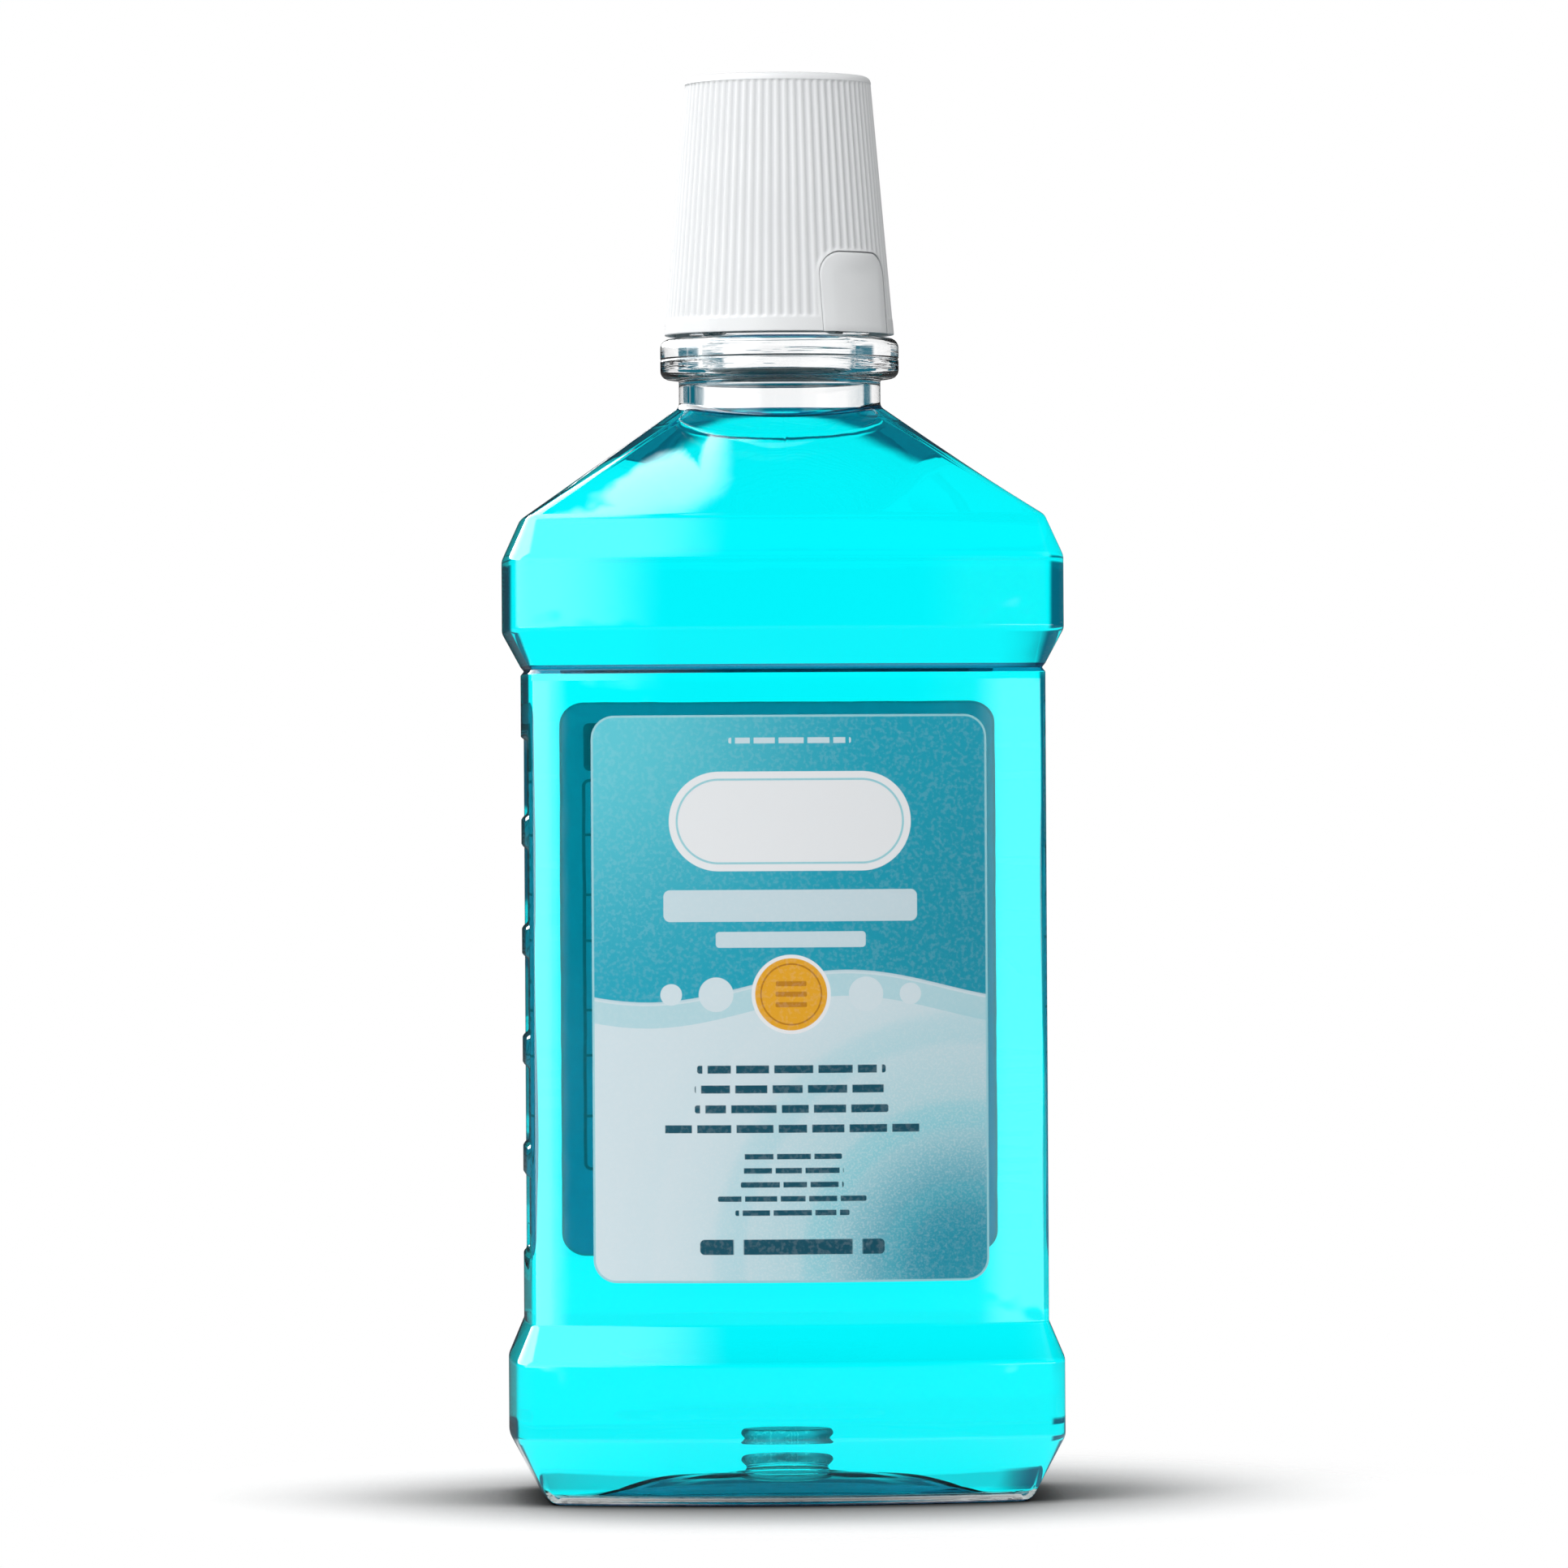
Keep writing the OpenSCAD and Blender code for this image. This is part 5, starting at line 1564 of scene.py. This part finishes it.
def ring_block(direction, half_angle, radii, heights, edge=0.25, steps=6):
    """Grid of a short block on a ring: a rounded box section, carried round its angle.

    The section is the curve (|cos t| ^ power, |sin t| ^ power) with the signs of cos t and sin t.
    """
    turn = np.linspace(0, 2 * math.pi, 33)[:-1]
    half_r, half_z = (radii[1] - radii[0]) / 2, (heights[1] - heights[0]) / 2
    unit = [np.sign(wave) * np.abs(wave) ** BLOCK_POWER for wave in (np.cos(turn), np.sin(turn))]
    across = np.concatenate([[-half_angle], np.linspace(-half_angle, half_angle, steps), [half_angle]])
    shrink = np.concatenate([[1 - edge], np.ones(steps), [1 - edge]])
    radius = sum(radii) / 2 + half_r * unit[0][None, :] * shrink[:, None]
    tall = sum(heights) / 2 + half_z * unit[1][None, :] * shrink[:, None]
    angle = np.radians(direction + across)[:, None]
    grid = np.stack([radius * np.cos(angle), radius * np.sin(angle), tall + RIM], -1)
    return grid, grid[0].mean(0), grid[-1].mean(0)


def joined(name, parts, material):
    """One object of several closed skins, each a grid with a point at either end."""
    points, faces, count = [], [], 0
    for grid, first, last in parts:
        rows, columns, _ = grid.shape
        points += [grid.reshape(-1, 3), [first, last]]
        faces += tube_faces(rows, columns, count)
        faces += fan_faces(columns, count, count + rows * columns, False)
        faces += fan_faces(columns, count + (rows - 1) * columns, count + rows * columns + 1, True)
        count += rows * columns + 2
    return make_object(name, np.concatenate(points), faces, material)


shell_parts = [(shell_grid, [0, 0, RIM + under_top], [0, 0, RIM + CAP_HEIGHT - DIMPLE])]
for side in (0, 180):
    shell_parts.append(ring_block(LOCK_DIRECTION + side, LOCK_HALF_ANGLE, LOCK_RADII, LOCK_HEIGHTS))
cap_shell = joined("cap_shell_fluted", shell_parts, cap_plastic)
cutters = [
    arch_plate("window_cut", direction, PAD_HALF, PAD_TOP, PAD_CORNER, -1.0,
               (lambda across, tall: CUT_RADII[1], lambda across, tall: CUT_RADII[0]), cap_plastic, 24)
    for direction in PAD_DIRECTIONS.values()
]
cut_away(cap_shell, cutters)
cap_shell.data.set_sharp_from_angle(angle=math.radians(42))
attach(cap_shell, "cap")
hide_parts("cap_shell")
print("cap shell faces:", len(cap_shell.data.polygons))

# %% [markdown]
# Each squeeze pad fills its window with a narrow seam round it. It has no flutes. Its face is pressed a
# little flatter in the middle, so that a fingertip finds it, and its edges are rolled.

# %% The squeeze pads
PAD_ROLL = 0.3
PAD_PRESS = 0.3
PAD_PRESS_HALF = 4.6


def pad_outside(across, tall):
    """The cone less a flat press across the middle, and less a quarter round along the edge."""
    cone = np.sqrt(cap_radius(tall) ** 2 - across**2)
    press = PAD_PRESS * np.clip(1 - (across / PAD_PRESS_HALF) ** 2, 0, 1)
    press = press * (1 - smooth_step(tall, PAD_TOP - 3.4, PAD_TOP - 0.8))
    inset = -arch_distance(across, tall, PAD_HALF - PAD_SEAM, PAD_TOP - PAD_SEAM, PAD_CORNER)
    inset = np.minimum(inset, tall + 0.05)
    rolled = 1 - np.clip(inset / PAD_ROLL, 0, 1)
    return cone - press - PAD_ROLL * (1 - np.sqrt(1 - rolled**2)) - 0.01


def pad_inside(across, tall):
    """The cone of the shell's inner face."""
    return np.sqrt((cap_radius(tall) - SHELL_WALL) ** 2 - across**2)


for letter, direction in PAD_DIRECTIONS.items():
    pad = arch_plate("squeeze_pad_" + letter + "_face", direction, PAD_HALF - PAD_SEAM, PAD_TOP - PAD_SEAM,
                     PAD_CORNER, 0.0, (pad_outside, pad_inside), pad_plastic)
    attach(pad, "pad_" + letter)
    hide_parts("squeeze_pad_" + letter)
print("pad faces:", len(pad.data.polygons))

# %% [markdown]
# Under the shell is the dosing cup, which is also what screws onto the bottle: a skirt with the thread
# inside, a step that presses the seal on the lip, and above it the cup itself, upside down.

# %% The cup insert and the seal
CUP_WALL = 0.55
CUP_SKIRT = 4.4
CUP_THREAD_TOP = 13.0
CUP_BORE = 13.6
CUP_PLAIN = 13.1
CUP_BEAD = (11.5, 12.5)
CUP_BEAD_RADIUS = 14.27
CUP_LOW, CUP_TOP = 12.1, 11.2
CUP_FLOOR = (34.8, 35.5)
CROWN_GAP = 0.02
SEAL_HEIGHTS = (17.7, 18.7)
SEAL_RADII = (11.5, 13.05)
INNER_THREAD_RISE = 0.68
INNER_THREAD_FLANK = (0.3, 0.95)
cup_angles = np.radians(np.arange(0, 360, 2.5))
round_cup = np.ones(len(cup_angles))

cup_crown = CUP_FLOOR[1] - CROWN_GAP
cup_step = SEAL_HEIGHTS[1] + CUP_WALL
skirt_out = CUP_BORE + CUP_WALL
cup_outside = rounded_path(
    [(0.5, cup_crown), (CUP_TOP + CUP_WALL, cup_crown), (CUP_LOW + CUP_WALL, cup_step),
     (CUP_PLAIN + CUP_WALL, cup_step), (CUP_PLAIN + CUP_WALL, CUP_THREAD_TOP + 0.5),
     (skirt_out, CUP_THREAD_TOP), (skirt_out, CUP_BEAD[1]), (CUP_BEAD_RADIUS, CUP_BEAD[1] - 0.3),
     (CUP_BEAD_RADIUS, CUP_BEAD[0] + 0.3), (skirt_out, CUP_BEAD[0]), (skirt_out, CUP_SKIRT),
     (CUP_BORE, CUP_SKIRT), (CUP_BORE, CUP_SKIRT + 0.6)],
    [0.5, 0.2, 0.3, 0.2, 0.2, 0.05, 0.05, 0.05, 0.05, 0.2, 0.2], arc_steps=3)
cup_inside = rounded_path(
    [(CUP_BORE, CUP_SKIRT + 0.7), (CUP_BORE, CUP_THREAD_TOP), (CUP_PLAIN, CUP_THREAD_TOP + 0.5),
     (CUP_PLAIN, SEAL_HEIGHTS[1]), (CUP_LOW, SEAL_HEIGHTS[1]), (CUP_TOP, CUP_FLOOR[0]), (0.5, CUP_FLOOR[0])],
    [0.1, 0.1, 0.15, 0.3, 0.8], arc_steps=4)
cup_inside = with_even_steps(cup_inside, 0.35)
outer_cup = cone_grid(cup_outside[:, 1], cup_outside[:, :1] * round_cup, cup_angles)
offset_turn = THREAD_LEAD / 2
inner_rise = thread_rise(cup_inside[:, 1] + RIM, np.degrees(cup_angles), THREAD_START + offset_turn,
                         INNER_THREAD_RISE, INNER_THREAD_FLANK)
in_thread = (cup_inside[:, 1] > CUP_SKIRT + 0.7) & (cup_inside[:, 1] < CUP_THREAD_TOP - 0.1)
inner_cup = cone_grid(cup_inside[:, 1], cup_inside[:, :1] - inner_rise * in_thread[:, None], cup_angles)
cup_plastic = moulded_material("moulded_cup", CUP_WHITE, CUP_GREY, 0.3)
cup_grid = np.concatenate([outer_cup, inner_cup])[::-1]
cup_middles = [0, 0, RIM + CUP_FLOOR[0]], [0, 0, RIM + cup_crown]
cup = closed_skin("dosing_cup", cup_grid, *cup_middles, cup_plastic)
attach(cup, "cap")
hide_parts("cap_cup")

seal_corners = [(r, z) for r, z in ((0, 0), (1, 0), (1, 1), (0, 1), (0, 0), (1, 0))]
seal_path = rounded_path(
    [(SEAL_RADII[r], SEAL_HEIGHTS[z]) for r, z in seal_corners], [0.18] * 4, arc_steps=4)[1:-1]
seal_grid = cone_grid(seal_path[:, 1], seal_path[:, :1] * round_cup, cup_angles)


def foam_material(name):
    """Closed-cell foam, whose cells come from the distance to the nearest of many scattered points."""
    material, tree, output = new_material(name)
    place = object_place(tree)
    skin = skin_marks(tree, place, 150.0, 4000.0)
    cells = add_node(tree, "TexVoronoi", {"Vector": place, "Scale": 3600.0}).outputs["Distance"]
    colour = blend_colours(tree, ramp(tree, cells, 0.2, 0.7), linear(228, 230, 231), linear(208, 211, 214))
    rough = total(tree, 0.78, product(tree, skin["Swell"], 0.2))
    height = total(tree, cells, product(tree, skin["Grain"], 0.3))
    bump = bumped(tree, height, 0.6, 0.00008)
    shader = add_node(tree, "BsdfPrincipled", {"Base Color": colour, "Roughness": rough, "Normal": bump})
    tree.links.new(shader.outputs[0], output.inputs["Surface"])
    return material


seal_foam = foam_material("foamed_seal")
seal_faces = tube_faces(*seal_grid.shape[:2], closed_rows=True)
seal = make_object("seal_ring", seal_grid.reshape(-1, 3), seal_faces, seal_foam)
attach(seal, "seal")
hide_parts("cap_seal")
print("cup faces:", len(cup.data.polygons), "seal faces:", len(seal.data.polygons))

# %% [markdown]
# The matt pieces, which are cap and labels, are lit by soft rectangular lamps: a main one at the front left,
# a weak one above, and weak ones at the right and in front that lift the shadows. One behind the bottle
# shines through the back label. Clear plastic doesn't see the lamps, because the world above already has its
# soft boxes.

# %% The lamps
# Each lamp: azimuth and elevation of its place, distance, width, height, light on a matt face that sees it
LAMPS = {
    "key_softbox": (235, 35, 1.3, 0.8, 0.6, 0.63),
    "top_softbox": (150, 80, 1.3, 0.9, 0.7, 0.12),
    "side_fill": (345, 20, 1.6, 0.8, 0.8, 0.12),
    "front_fill": (262, 12, 1.7, 0.9, 0.9, 0.1),
    "back_sheet": (90, 8, 1.6, 1.2, 0.9, 0.75),
}
LAMP_AIM = Vector((0, 0, 0.11))


def add_lamp(name, azimuth, elevation, distance, width, height, light):
    """A soft rectangular lamp: a power of light * pi^2 * distance^2 lights a matt face to that level."""
    data = bpy.data.lights.new(name, "AREA")
    data.shape = "RECTANGLE"
    data.size, data.size_y = width, height
    data.energy = light * (math.pi * distance) ** 2
    lamp = bpy.data.objects.new(name, data)
    flat = math.radians(azimuth)
    rise = math.radians(elevation)
    towards = Vector((math.cos(flat) * math.cos(rise), math.sin(flat) * math.cos(rise), math.sin(rise)))
    lamp.location = LAMP_AIM + towards * distance
    lamp.rotation_mode = "QUATERNION"
    lamp.rotation_quaternion = towards.to_track_quat("Z", "Y")
    lamp.visible_glossy = False
    lamp.visible_transmission = False
    bpy.context.scene.collection.objects.link(lamp)
    return lamp


for name, values in LAMPS.items():
    add_lamp(name, *values)
print("lamps:", list(LAMPS))
